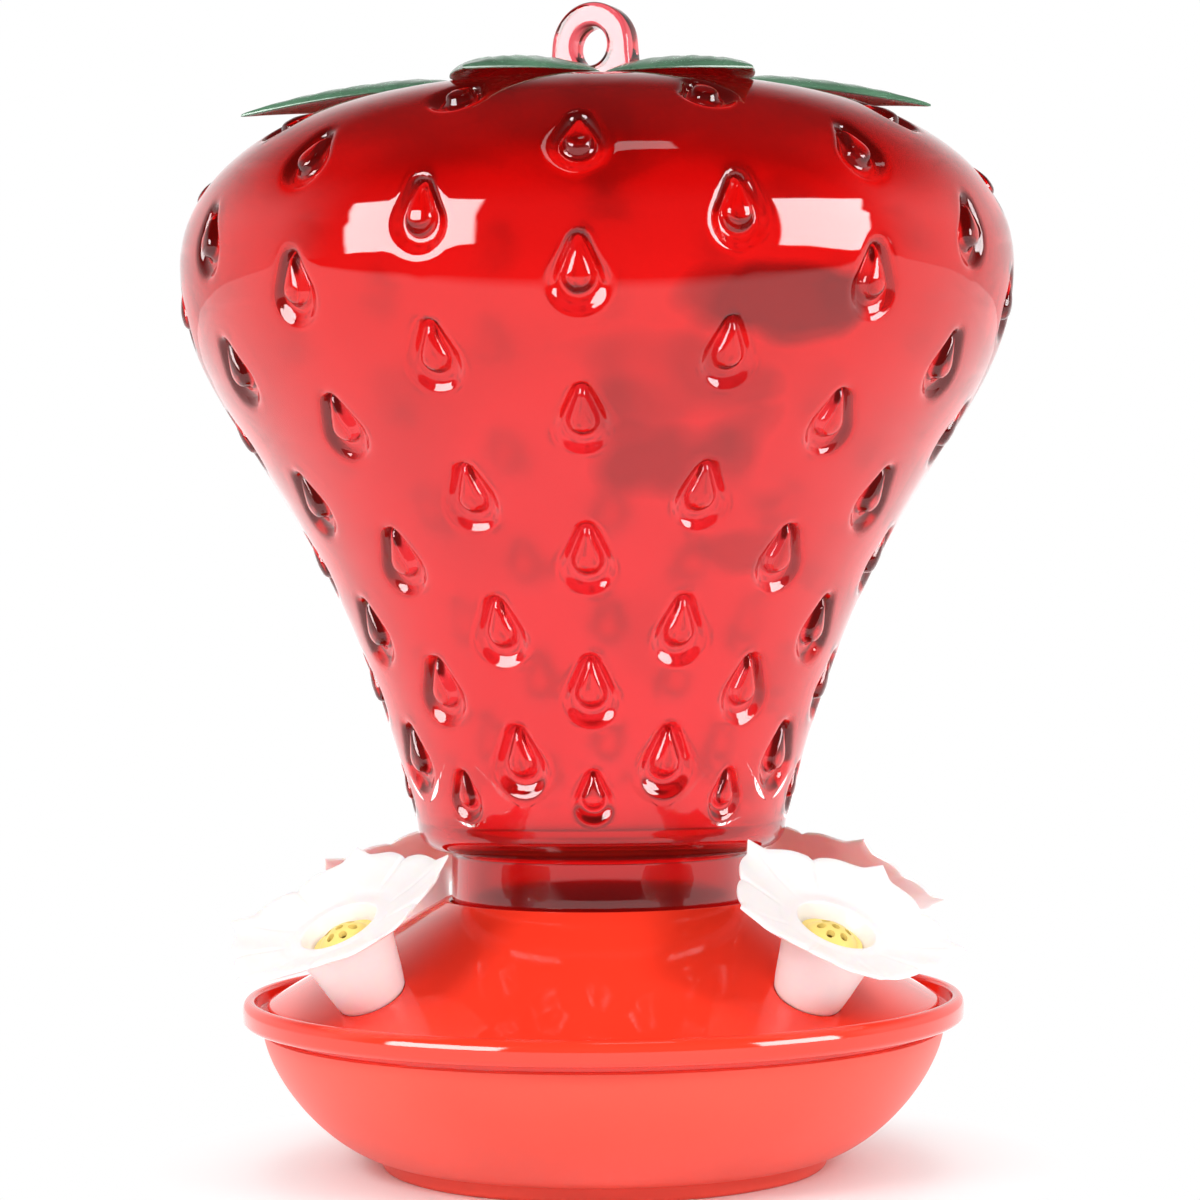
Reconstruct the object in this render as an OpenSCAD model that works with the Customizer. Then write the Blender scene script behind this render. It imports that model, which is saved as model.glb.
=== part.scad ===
// Hummingbird feeder. A strawberry-shaped nectar bottle stands neck down in the screwed collar
// of a covered dish, and birds drink through four flower-shaped ports in the dish's cover.
// Millimetres. Z points up, the foot ring stands on z = 0 and the front faces -Y.

/* [Bowl] */
// Outer radius of the foot ring
foot_r = 41; // [34:0.5:48]
// Height of the foot ring
foot_h = 2.8; // [1.5:0.1:6]
// Thickness of the foot ring
foot_t = 3; // [2:0.1:6]
// Outer radius of the bowl at its rim
bowl_r = 62.6; // [58:0.1:72]
// Height of the bowl's rim above the table
bowl_h = 25.8; // [22:0.1:40]
// Thickness of the bowl's side and floor
bowl_wall = 2.2; // [1.5:0.1:3.2]
// Roundness of the bowl's side: 2 is an ellipse, less is straighter
bowl_round = 1.52; // [1.3:0.02:2.2]

/* [Cover] */
// Height of the rounded band round the cover's edge
band_h = 4.6; // [3.5:0.1:8]
// How far the band stands out past the bowl
band_out = 3.9; // [2.5:0.1:6]
// Thickness of the band
band_t = 2.5; // [1.8:0.1:3.5]
// Height of the shadow groove between the band and the bowl
groove_h = 1.2; // [0.6:0.1:2]
// Depth of that groove
groove_d = 0.7; // [0.3:0.1:1.2]
// Width of the gutter between the band and the cone
gutter_w = 1.6; // [1:0.1:3]
// Height of the gutter's floor above the bowl's rim
gutter_floor = 2.8; // [2:0.1:4]
// Height of the cone from the bowl's rim to the collar's mouth
cone_h = 23.2; // [20:0.1:32]
// Wall of the cover
cover_wall = 2.2; // [1.6:0.1:3]
// Depth of the plug skirt inside the bowl
skirt_h = 4; // [2:0.1:7]
// Height of the drop tube's open end above the bowl's floor
tube_gap = 11; // [6:0.5:14]

/* [Neck and screw collar] */
// Outer radius of the bottle's neck
neck_r = 27.75; // [24:0.05:32]
// Wall of the neck
neck_wall = 2.8; // [2:0.1:3.6]
// Height of the neck that shows above the collar
neck_show = 9.1; // [6:0.1:16]
// Length of the neck inside the collar
screw_len = 12; // [8:0.5:14]
// Step from the neck in to the root of its thread
thread_step = 1.1; // [0.8:0.1:1.4]
// Height of the plain bead over the thread
neck_bead = 2.2; // [1.5:0.1:4]
// Thickness of the flat gasket
gasket_t = 2; // [1:0.1:4]
// Thickness of the ledge that carries the gasket
ledge_t = 2; // [1.5:0.1:4]
// Width of that ledge
ledge_w = 3.5; // [2.5:0.1:6]

/* [Strawberry bottle] */
// Radius of the strawberry at its widest
belly_r = 76.5; // [68:0.1:88]
// Height of the widest ring above the strawberry's underside
belly_up = 107; // [96:0.5:112]
// Height of the crown above the widest ring
shoulder_h = 29.9; // [26:0.1:40]
// Radius of the strawberry just over its rounded underside
heel_r = 34.1; // [32.6:0.1:40]
// Rounding at the underside
heel_round = 5; // [4:0.1:7]
// Radius of the flat crown
crown_r = 34; // [26:0.5:40]
// How far the crown's curve runs level before it turns down
shoulder_reach = 22; // [12:0.5:28]
// How far the belly's curve runs upright before it turns in
shoulder_rise = 17; // [8:0.5:26]
// How far the belly's curve runs straight down before it turns in
flank_drop = 30; // [15:0.5:45]
// How far the slender lower part runs straight up
flank_rise = 68; // [40:0.5:75]
// Outward lean of that part, sideways for each unit up
flank_lean = 0.244; // [0.05:0.005:0.35]
// Wall of the bottle
bottle_wall = 2.4; // [1.8:0.1:3.2]

/* [Seeds] */
// Seeds in each ring
seed_count = 9; // [5:1:12]
// Rings of full-size seeds
seed_rows = 11; // [4:1:11]
// Depth of the first ring below the crown
seed_first = 7.2; // [6:0.1:12]
// Height of the last ring above the strawberry's underside
seed_last = 16.2; // [14:0.1:30]
// How much closer every second ring lies to the one above it
seed_stagger = 0.95; // [0:0.05:2]
// Turn of the front column of seeds
seed_turn = -2.3; // [-20:0.1:20]
// Half width of a seed's dimple
dimple_w = 4.7; // [3.8:0.1:6]
// Length of the dimple over its widest place
dimple_tip = 8.6; // [7:0.1:10]
// Depth of the dimple
dimple_d = 1.1; // [0.5:0.1:1.4]
// Radius of the raised seed
seed_r = 3.1; // [2:0.1:3.6]
// Length of the raised seed over its widest place
seed_tip = 6.4; // [4:0.1:7]
// How far the seed stands out past the bottle
seed_out = 0.7; // [0.2:0.1:1.2]
// Size of the seeds of the last ring, at the heel
heel_seed = 0.72; // [0.5:0.02:1]

/* [Leaves] */
// Length of the longest leaf from the crown's centre
leaf_l = 65.5; // [45:0.5:70]
// Thickness of the leaves
leaf_t = 1.3; // [0.8:0.1:2]
// How much a leaf widens past its root
leaf_bulge = 8.6; // [4:0.1:9.5]
// Height of the arch across a leaf
leaf_arch = 2.3; // [0:0.1:4]
// How far the leaf tips hang below the crown
leaf_droop = 4.6; // [0:0.1:5]
// Radius of the leaves' common root
root_r = 17; // [13:0.5:22]

/* [Hanging eye] */
// Radius of the eye's rounded head
eye_r = 8.1; // [6:0.1:12]
// Half width of the eye at its foot
eye_foot = 8.9; // [6:0.1:12]
// Thickness of the eye
eye_t = 5; // [3:0.1:7]
// Radius of the hole for the hook
eye_bore = 3.6; // [2:0.1:4.5]
// Height of the hole's centre above the crown
eye_up = 11.2; // [9:0.1:20]
// Turn of the eye about the feeder's axis
eye_turn = -30; // [-90:1:90]
// Radius of the flange that holds the leaves down
flange_r = 11.5; // [9.5:0.1:14]
// Thickness of that flange
flange_t = 1.6; // [1:0.1:3]
// Radius of the shank below the flange
shank_r = 3.5; // [2.5:0.1:4.5]
// Length of the shank below the crown
shank_l = 6.5; // [4:0.5:12]
// Wall of the boss round the shank
boss_wall = 3; // [2:0.1:4.4]

/* [Flowers] */
// Number of feeding ports
flower_count = 4; // [4]
// Radius of the ring of ports
port_ring = 53.3; // [48:0.1:54]
// Turn of the ring of ports
port_turn = -48.8; // [-90:0.1:90]
// Radius of a port's hole
port_r = 4.9; // [4:0.1:5.3]
// Depth of the flat seat let into the cone round a port
port_seat = 0.6; // [0.4:0.1:0.9]
// Length of the spigot below the cone
spigot_l = 6; // [4:0.1:9]
// Radius of the flower's tube at its foot
tube_foot = 5.9; // [5.4:0.1:7]
// Radius that the tube swells towards
tube_full = 7.4; // [6.4:0.1:8]
// Height of the blossom's throat over the cone
tube_h = 14.6; // [13:0.1:18]
// Radius of the tube's bore
tube_bore = 3.3; // [2:0.1:3.7]
// Petals of a blossom
petal_count = 5; // [4:1:6]
// Radius of a petal's round
petal_r = 13; // [11:0.1:14]
// Distance of that round's centre from the flower's axis
petal_out = 7; // [6:0.1:8]
// How far a petal's point stands out past its round
petal_point = 2.2; // [0.5:0.1:3]
// Height of the petals' points over the throat
petal_rise = 3.4; // [1:0.1:6]
// Thickness of the petals
petal_t = 1.1; // [0.8:0.1:2]

/* [Bee guards] */
// Radius of the guard's plug
guard_r = 4.6; // [4.3:0.1:5.2]
// Depth of the guard's seat in the blossom's throat
guard_sink = 3.4; // [3:0.1:5]
// Depth of the plug below that seat
guard_plug = 3; // [2:0.1:5]
// Height of the guard's dome
guard_dome = 2.2; // [1.4:0.1:4]
// Wall of the guard
guard_wall = 0.9; // [0.6:0.1:1]
// Radius of the guard's holes
guard_hole = 0.75; // [0.4:0.05:0.8]

/* [Clearances] */
// Between the neck and its collar
neck_gap = 0.35; // [0.2:0.05:0.6]
// Between the gasket and its collar
gasket_gap = 0.4; // [0.2:0.1:0.8]
// Between the cover's skirt and the bowl
skirt_gap = 0.3; // [0.1:0.05:0.6]
// Between a spigot and its port
port_gap = 0.1; // [0.05:0.05:0.3]
// Between a guard and its blossom
guard_gap = 0.1; // [0.05:0.05:0.2]
// Between the eye's shank and its boss
shank_gap = 0.05; // [0.02:0.01:0.2]
// Between the leaves' hole and the boss
leaf_gap = 0.2; // [0.1:0.05:0.6]

/* [Hidden] */
$fn = 72;
eps = 0.01;

// Turns are counted from the front, towards the right
front = -90;

coral = [0.94, 0.40, 0.33];
red_orange = [0.93, 0.25, 0.17];
cherry = [0.84, 0.07, 0.09, 0.7];
leaf_green = [0.27, 0.45, 0.33];
pale_pink = [1.0, 0.72, 0.75, 0.8];

// Heights, from the table up
floor_z = foot_h + bowl_wall;
band_z = bowl_h + groove_h;
gutter_z = bowl_h + gutter_floor;
mouth_z = bowl_h + cone_h;
neck_z = mouth_z - screw_len;
ledge_z = neck_z - gasket_t;
tube_z = floor_z + tube_gap;
heel_z = mouth_z + neck_show;
belly_z = heel_z + belly_up;
crown_z = belly_z + shoulder_h;
seed_pitch = (crown_z - seed_first - heel_z - seed_last) / (seed_rows - 1);

// Radii
band_r = bowl_r + band_out;
gutter_r = band_r - band_t;
cone_r = gutter_r - gutter_w;
collar_r = neck_r + neck_gap;
ledge_r = collar_r - ledge_w;
boss_r = shank_r + shank_gap + boss_wall;

// The cone's straight part runs from beside the collar's mouth to a round edge at the gutter
edge_r = 1.2;
edge_up = 1.2;
lip_w = 1.6;
lip_fall = 0.2;
cone_top = [collar_r + lip_w, mouth_z - lip_fall];
cone_end = [cone_r - edge_r, gutter_z + edge_up + edge_r];
cone_slope = (cone_top[1] - cone_end[1]) / (cone_end[0] - cone_top[0]);
cone_tilt = atan(cone_slope);
function cone_z(r) = cone_top[1] - (r - cone_top[0]) * cone_slope;
function cone_under(r) = cone_z(r) - cover_wall / cos(cone_tilt);

// Points along an elliptical arc, and along a cubic curve
function arc(c, rx, rz, a0, a1, n) =
    [for (i = [0:n]) let (a = a0 + (a1 - a0) * i / n) [c[0] + rx * cos(a), c[1] + rz * sin(a)]];
function bez(p, t) = p[0] * pow(1 - t, 3) + 3 * p[1] * t * pow(1 - t, 2)
    + 3 * p[2] * t * t * (1 - t) + p[3] * pow(t, 3);
function bez_dir(p, t) = (p[1] - p[0]) * pow(1 - t, 2) + 2 * (p[2] - p[1]) * t * (1 - t)
    + (p[3] - p[2]) * t * t;
function curve(p, n) = [for (i = [0:n]) bez(p, i / n)];

// The outline moved sideways by d, to its left as it runs
function inset(p, d) = [for (i = [0:len(p) - 1])
    let (a = p[max(i - 1, 0)], b = p[min(i + 1, len(p) - 1)], v = (b - a) / norm(b - a))
    [p[i][0] - v[1] * d, p[i][1] + v[0] * d]];

// Radius of the bowl's side at height z, from a foot of radius a at height z0 to b at the rim
function side_r(a, b, z0, z) =
    a + (b - a) * pow(1 - pow(max(bowl_h - z, 0) / (bowl_h - z0), bowl_round), 1 / bowl_round);
function bowl_in(z) = side_r(foot_r - bowl_wall / 2, bowl_r - bowl_wall, floor_z, z);
function steps(z0, z1, n) = [for (i = [0:n]) z0 + (z1 - z0) * (1 - cos(90 * i / n))];

// The bowl turns on a foot ring and rises in one rounded side to its thin rim
module nectar_bowl() {
    draft = 0.4;
    round = 0.5;
    fillet = 0.6;
    outer = [for (z = steps(foot_h, bowl_h, 18)) [side_r(foot_r + fillet, bowl_r, foot_h, z), z]];
    inner = [for (z = steps(floor_z, bowl_h, 18)) [bowl_in(z), z]];
    color(coral)
    rotate_extrude()
    polygon(concat(
        [[0, foot_h], [foot_r - foot_t, foot_h], [foot_r - foot_t + draft, 0], [foot_r - round, 0],
            [foot_r, round], [foot_r, foot_h - fillet / 2]],
        outer,
        [for (i = [len(inner) - 1:-1:0]) inner[i]],
        [[0, floor_z]]));
}

// Port k's place on the cone, square to it
module at_port(k) {
    rotate([0, 0, port_turn + front + 360 / flower_count * k])
    translate([port_ring, 0, cone_z(port_ring)])
    rotate([0, cone_tilt, 0])
    children();
}

// One turned moulding from the drop tube and the screw collar, over the cone and its gutter, to
// the band that caps the bowl, with a round port for each flower
module base_cover() {
    mouth_round = 0.8;
    lip_round = 0.8;
    band_round = 1.5;
    band_fall = 2;
    band_under = 1.3;
    seat_gap = 0.3;
    skirt_z = bowl_h - skirt_h;
    skirt = [for (z = [bowl_h, bowl_h - skirt_h / 2, skirt_z]) [bowl_in(z) - skirt_gap, z]];
    skirt_in = skirt[2][0] - cover_wall;
    tube_r = ledge_r + cover_wall;
    top = band_z + band_h;
    color(red_orange)
    difference() {
        rotate_extrude()
        polygon(concat(
            arc([collar_r + mouth_round, mouth_z - mouth_round], mouth_round, mouth_round, 180, 90, 4),
            [cone_top],
            arc([cone_end[0] - edge_r * sin(cone_tilt), cone_end[1] - edge_r * cos(cone_tilt)],
                edge_r, edge_r, 90 - cone_tilt, 0, 4),
            [[cone_end[0] + edge_r * (1 - sin(cone_tilt)), gutter_z], [gutter_r, gutter_z]],
            arc([gutter_r + lip_round, top - lip_round], lip_round, lip_round, 180, 90, 3),
            arc([band_r - band_round, top - band_fall], band_round, band_fall, 90, 0, 5),
            arc([band_r - band_under, band_z + band_under], band_under, band_under, -20, -90, 4),
            [[bowl_r - groove_d, band_z], [bowl_r - groove_d, bowl_h]],
            skirt,
            [[skirt_in, skirt_z], [skirt_in, cone_under(skirt_in)],
                [collar_r + cover_wall, cone_under(collar_r + cover_wall)],
                [collar_r + cover_wall, ledge_z - ledge_t],
                [tube_r, ledge_z - ledge_t], [tube_r, tube_z],
                [ledge_r, tube_z], [ledge_r, ledge_z], [collar_r, ledge_z]]));
        for (k = [0:flower_count - 1])
            at_port(k) {
                translate([0, 0, -4 * cover_wall])
                cylinder(r = port_r, h = 8 * cover_wall);
                translate([0, 0, -port_seat])
                cylinder(r = tube_foot + seat_gap, h = 4 * port_seat);
            }
    }
}

// The flat ring that the bottle's neck is screwed down on
module neck_gasket() {
    color("ghostwhite")
    translate([0, 0, ledge_z])
    difference() {
        cylinder(r = collar_r - gasket_gap, h = gasket_t);
        translate([0, 0, -eps])
        cylinder(r = ledge_r, h = gasket_t + 2 * eps);
    }
}

// The strawberry's outline: its rounded underside, its flank and its shoulder
flank = [[heel_r, heel_z + heel_round], [heel_r + flank_lean * flank_rise, heel_z + heel_round
    + flank_rise], [belly_r, belly_z - flank_drop], [belly_r, belly_z]];
shoulder = [[belly_r, belly_z], [belly_r, belly_z + shoulder_rise],
    [crown_r + shoulder_reach, crown_z], [crown_r, crown_z]];
berry = concat(
    arc([heel_r - heel_round, heel_z + heel_round], heel_round, heel_round, -90, 0, 5),
    [for (i = [1:18]) bez(flank, i / 18)],
    [for (i = [1:10]) bez(shoulder, i / 10)]);

// Where the outline p reaches height z, found by halving, for p that climbs all the way
function climb(p, z, lo = 0, hi = 1, n = 16) = let (mid = (lo + hi) / 2)
    n == 0 ? mid : bez(p, mid)[1] < z ? climb(p, z, mid, hi, n - 1) : climb(p, z, lo, mid, n - 1);

// A place on the strawberry's skin, with X pointing straight out of it
module on_bottle(z, turn) {
    p = z < belly_z ? flank : shoulder;
    t = climb(p, z);
    at = bez(p, t);
    way = bez_dir(p, t);
    rotate([0, 0, turn + front])
    translate([at[0], 0, at[1]])
    rotate([0, atan2(way[0], way[1]), 0])
    children();
}

// A drop-shaped recess let straight into the wall, round below and pointed above
module dimple() {
    a = asin(dimple_w / dimple_tip);
    translate([dimple_d, 0, 0])
    rotate([0, -90, 0])
    linear_extrude(2 * dimple_d)
    polygon(concat([[dimple_tip, 0]], arc([0, 0], dimple_w, dimple_w, 90 - a, 270 + a, 8)));
}

// A ball with a cone on it, lying along the wall in the dimple's middle
module seed() {
    translate([seed_out - seed_r, 0, 0]) {
        sphere(seed_r);
        cylinder(h = seed_tip, r1 = seed_r - eps, r2 = seed_r / 2);
    }
}

// Staggered rings of seeds from the crown down, and a ring of small ones over the underside
module each_seed() {
    heel_margin = 2;
    for (j = [0:seed_rows - 1])
        for (k = [0:seed_count - 1])
            on_bottle(crown_z - seed_first - seed_pitch * j + (j % 2) * seed_stagger,
                seed_turn + 360 / seed_count * (k + (j + 1) % 2 / 2))
            children();
    for (k = [0:seed_count - 1])
        on_bottle(heel_z + heel_round + dimple_w * heel_seed + heel_margin,
            seed_turn + 360 / seed_count * (k + (seed_rows + 1) % 2 / 2))
        scale(heel_seed)
        children();
}

// A hollow strawberry with an open neck, and a boss in its crown for the hanging eye
module bottle() {
    chamfer = 0.5;
    finish_r = neck_r - thread_step;
    bore_r = neck_r - neck_wall;
    outer = concat(
        [[finish_r - chamfer, neck_z], [finish_r, neck_z + chamfer],
            [finish_r, mouth_z - neck_bead - thread_step], [neck_r, mouth_z - neck_bead],
            [neck_r, heel_z]],
        berry);
    wall = inset(berry, bottle_wall);
    color(cherry)
    difference() {
        union() {
            difference() {
                union() {
                    difference() {
                        rotate_extrude()
                        polygon(concat([[0, neck_z]], outer, [[0, crown_z]]));
                        each_seed() dimple();
                    }
                    each_seed() seed();
                }
                rotate_extrude()
                polygon(concat([[0, neck_z - 1], [bore_r, neck_z - 1], [bore_r, heel_z + bottle_wall]],
                    wall, [[0, crown_z - bottle_wall]]));
            }
            translate([0, 0, crown_z - shank_l - bottle_wall])
            cylinder(r = boss_r, h = shank_l + bottle_wall + leaf_t);
        }
        translate([0, 0, crown_z - shank_l - 1])
        cylinder(r = shank_r + shank_gap, h = shank_l + leaf_t + 2);
    }
}

// Directions of the leaves, from the front towards the right, and their shares of leaf_l
leaf_turns = [-78, -21, 26, 76, 128, 180, 231];
leaf_sizes = [1, 0.94, 0.92, 0.95, 1, 0.93, 0.97];
leaf_n = len(leaf_turns);
leaf_rows = 11;
leaf_cols = 6;
leaf_hole = boss_r + leaf_gap;
leaf_clear = 0.9;

// Half the angle between a leaf and the next one
function half_gap(i) = (i < leaf_n - 1 ? leaf_turns[i + 1] - leaf_turns[i]
    : leaf_turns[0] + 360 - leaf_turns[i]) / 2;
function before(i) = half_gap((i + leaf_n - 1) % leaf_n);

// A point of leaf i: s runs from its root to its tip and v from its left edge to its right
function leaf_point(i, s, v) =
    let (root = root_r * tan(v < 0 ? before(i) : half_gap(i)),
        run = root_r + (leaf_l * leaf_sizes[i] - root_r) * s,
        out = v * (root * (1 - s) + leaf_bulge * sin(180 * pow(s, 0.85)) * (1 - 0.25 * s)),
        lift = leaf_arch * sin(180 * pow(s, 0.8)) * (1 - v * v),
        drop = leaf_droop * pow(norm([run, out]) / leaf_l, 2.6) * min(1, s * 2),
        a = leaf_turns[i] + front)
    [run * cos(a) - out * sin(a), run * sin(a) + out * cos(a), crown_z + lift - drop
        + leaf_clear * min(1, 3 * s)];

// Along the round hole, opposite the point of leaf i's root at v
function hole_point(i, v) =
    let (a = leaf_turns[i] + front + v * (v < 0 ? before(i) : half_gap(i)))
    [leaf_hole * cos(a), leaf_hole * sin(a), crown_z];

// Numbers of the points. Each leaf has its hole points, its root points and its rows up to the
// single tip, and its last root point is the next leaf's first.
leaf_size = 2 * leaf_cols + (leaf_rows - 1) * (leaf_cols + 1) + 1;
function leaf_at(i, j, k) =
    j <= 1 ? (i + (k == leaf_cols ? 1 : 0)) % leaf_n * leaf_size + j * leaf_cols + k % leaf_cols
    : i * leaf_size + 2 * leaf_cols + (j > leaf_rows ? (leaf_rows - 1) * (leaf_cols + 1)
        : (j - 2) * (leaf_cols + 1) + k);

// Seven arched leaves in one thin sheet round the boss
module leaf_cap() {
    cols = [for (k = [0:leaf_cols - 1]) 2 * k / leaf_cols - 1];
    face = [for (i = [0:leaf_n - 1]) each concat(
        [for (v = cols) hole_point(i, v)],
        [for (v = cols) leaf_point(i, 0, v)],
        [for (j = [1:leaf_rows - 1], k = [0:leaf_cols])
            leaf_point(i, j / leaf_rows, 2 * k / leaf_cols - 1)],
        [leaf_point(i, 1, 0)])];
    n = len(face);
    cells = [for (i = [0:leaf_n - 1], j = [0:leaf_rows], k = [0:leaf_cols - 1])
        let (a = leaf_at(i, j, k), b = leaf_at(i, j, k + 1), c = leaf_at(i, j + 1, k + 1),
            d = leaf_at(i, j + 1, k))
        each (c == d ? [[a, b, c]] : [[a, b, c], [a, c, d]])];
    rims = [for (i = [0:leaf_n - 1]) each concat(
        [for (k = [0:leaf_cols - 1]) [leaf_at(i, 0, k + 1), leaf_at(i, 0, k)]],
        [for (j = [1:leaf_rows]) [leaf_at(i, j, 0), leaf_at(i, j + 1, 0)]],
        [for (j = [1:leaf_rows]) [leaf_at(i, j + 1, leaf_cols), leaf_at(i, j, leaf_cols)]])];
    color(leaf_green)
    polyhedron(
        points = concat([for (p = face) p + [0, 0, leaf_t]], face),
        faces = concat(
            cells,
            [for (c = cells) [c[2] + n, c[1] + n, c[0] + n]],
            [for (r = rims) each [[r[0], r[1], r[1] + n], [r[0], r[1] + n, r[0] + n]]]));
}

// A flat eye for the hook, with the flange and the shank that hold the leaves on the bottle
module hanger_eye() {
    foot = crown_z + leaf_t;
    head = crown_z + eye_up;
    color(pale_pink) {
        rotate([0, 0, eye_turn])
        difference() {
            translate([0, eye_t / 2, 0])
            rotate([90, 0, 0])
            linear_extrude(eye_t)
            polygon(concat([[eye_foot, foot + flange_t / 2]], arc([0, head], eye_r, eye_r, 4, 176, 24),
                [[-eye_foot, foot + flange_t / 2]]));
            translate([0, 0, head])
            rotate([90, 0, 0])
            cylinder(r = eye_bore, h = 2 * eye_t, center = true);
        }
        translate([0, 0, foot])
        cylinder(r = flange_r, h = flange_t);
        translate([0, 0, crown_z - shank_l])
        cylinder(r = shank_r, h = shank_l + leaf_t + flange_t / 2);
    }
}

// Blossoms are pressed in at any turn
blossom_turns = [0, -25, 18, 33];

guard_lip = 1;
guard_seat = tube_h - guard_sink;

// A blossom is a curved dish cut to the outline of its pointed petals, on a swelling tube whose
// throat takes the bee guard
module flower(k) {
    flare = 2.2;
    dish_over = 0.3;
    throat_gap = 0.3;
    point_w = 4;
    point_sunk = 1.5;
    flare_r = tube_full + flare;
    round_r = petal_out + petal_r;
    tip_r = round_r + petal_point + dish_over;
    throat_r = guard_r + guard_lip + throat_gap;
    side = [[tube_foot, -port_seat], [tube_full, tube_h * 0.28], [tube_full - 0.2, tube_h * 0.6],
        [flare_r, tube_h - petal_t]];
    under = curve([side[3], [flare_r + 2.5, tube_h], [tip_r - 6, tube_h + petal_rise * 0.25],
        [tip_r, tube_h + petal_rise]], 8);
    over = inset(under, petal_t);
    spigot_r = port_r - port_gap;
    color("white")
    at_port(k)
    rotate(blossom_turns[k])
    difference() {
        union() {
            rotate_extrude()
            polygon(concat([[0, -spigot_l], [spigot_r - 0.4, -spigot_l], [spigot_r, 0.6 - spigot_l],
                    [spigot_r, -port_seat]],
                curve(side, 9), [[0, tube_h - petal_t]]));
            intersection() {
                rotate_extrude()
                polygon(concat([[0, tube_h - petal_t]], under, [for (i = [8:-1:0]) over[i]],
                    [[0, tube_h]]));
                linear_extrude(tube_h + 3 * petal_rise + 10)
                for (i = [0:petal_count - 1])
                    rotate(360 / petal_count * i) {
                        translate([petal_out, 0])
                        circle(petal_r);
                        polygon([[round_r - point_sunk, -point_w], [round_r + petal_point, 0],
                            [round_r - point_sunk, point_w]]);
                    }
            }
        }
        translate([0, 0, -spigot_l - 1])
        cylinder(r = tube_bore, h = spigot_l + tube_h);
        translate([0, 0, guard_seat - 2 * guard_plug])
        cylinder(r = guard_r + guard_gap, h = 2 * guard_plug + 1);
        translate([0, 0, guard_seat])
        cylinder(r1 = throat_r, r2 = throat_r + guard_sink / 3, h = guard_sink + eps);
    }
}

// A domed grille with a plug that clips into its blossom
module bee_guard(k) {
    hole_ring = guard_r * 0.53;
    dome_r = (guard_r * guard_r + guard_dome * guard_dome) / (2 * guard_dome);
    color("gold")
    at_port(k)
    difference() {
        union() {
            translate([0, 0, guard_seat - guard_plug])
            cylinder(r = guard_r, h = guard_plug);
            translate([0, 0, guard_seat])
            cylinder(r = guard_r + guard_lip, h = guard_wall);
            intersection() {
                translate([0, 0, guard_seat + guard_wall + guard_dome - dome_r])
                sphere(dome_r);
                translate([0, 0, guard_seat])
                cylinder(r = guard_r, h = 2 * guard_dome);
            }
        }
        translate([0, 0, guard_seat - guard_plug - eps])
        cylinder(r = guard_r - guard_wall, h = guard_plug + eps);
        intersection() {
            translate([0, 0, guard_seat + guard_wall + guard_dome - dome_r])
            sphere(dome_r - guard_wall);
            translate([0, 0, guard_seat - eps])
            cylinder(r = guard_r - guard_wall, h = 2 * guard_dome);
        }
        cylinder(r = guard_hole, h = 2 * guard_seat);
        for (i = [0:5])
            rotate([0, 0, 60 * i])
            translate([hole_ring, 0, 0])
            cylinder(r = guard_hole, h = 2 * guard_seat);
    }
}

nectar_bowl();
base_cover();
neck_gasket();
bottle();
leaf_cap();
hanger_eye();
flower(0);  // flower_1
flower(1);  // flower_2
flower(2);  // flower_3
flower(3);  // flower_4
bee_guard(0);  // bee_guard_1
bee_guard(1);  // bee_guard_2
bee_guard(2);  // bee_guard_3
bee_guard(3);  // bee_guard_4
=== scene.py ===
"""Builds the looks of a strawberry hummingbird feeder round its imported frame.

Lengths in the code are millimetres until a mesh is made, because the feeder's drawings are.
"""
from math import acos, asin, atan2, ceil, cos, degrees, exp, hypot, pi, radians, sin, sqrt, tan

import bmesh
import bpy
from bpy.props import FloatProperty, FloatVectorProperty, IntProperty, PointerProperty
from mathutils import Matrix, Vector


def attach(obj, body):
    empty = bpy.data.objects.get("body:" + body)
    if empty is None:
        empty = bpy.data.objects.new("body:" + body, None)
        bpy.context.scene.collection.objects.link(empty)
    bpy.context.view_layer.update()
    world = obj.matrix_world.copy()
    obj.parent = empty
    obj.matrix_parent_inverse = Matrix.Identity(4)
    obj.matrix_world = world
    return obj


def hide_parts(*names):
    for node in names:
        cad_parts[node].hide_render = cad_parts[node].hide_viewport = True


bl_info = {
    "name": "Strawberry Hummingbird Feeder",
    "version": (1, 0, 0),
    "blender": (4, 5, 0),
    "location": "View3D > Sidebar > Feeder",
    "description": "Moulded bottle, leaves, flowers and dish of a hummingbird feeder",
    "category": "Object",
}

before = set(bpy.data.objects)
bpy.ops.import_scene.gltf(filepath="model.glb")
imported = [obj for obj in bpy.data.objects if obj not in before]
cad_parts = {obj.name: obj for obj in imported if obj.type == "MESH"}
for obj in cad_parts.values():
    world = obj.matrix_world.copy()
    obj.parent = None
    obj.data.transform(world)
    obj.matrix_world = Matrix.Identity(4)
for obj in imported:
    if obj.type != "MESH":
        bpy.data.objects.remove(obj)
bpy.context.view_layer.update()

MM = 0.001


# Heights and radii of the feeder

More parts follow.
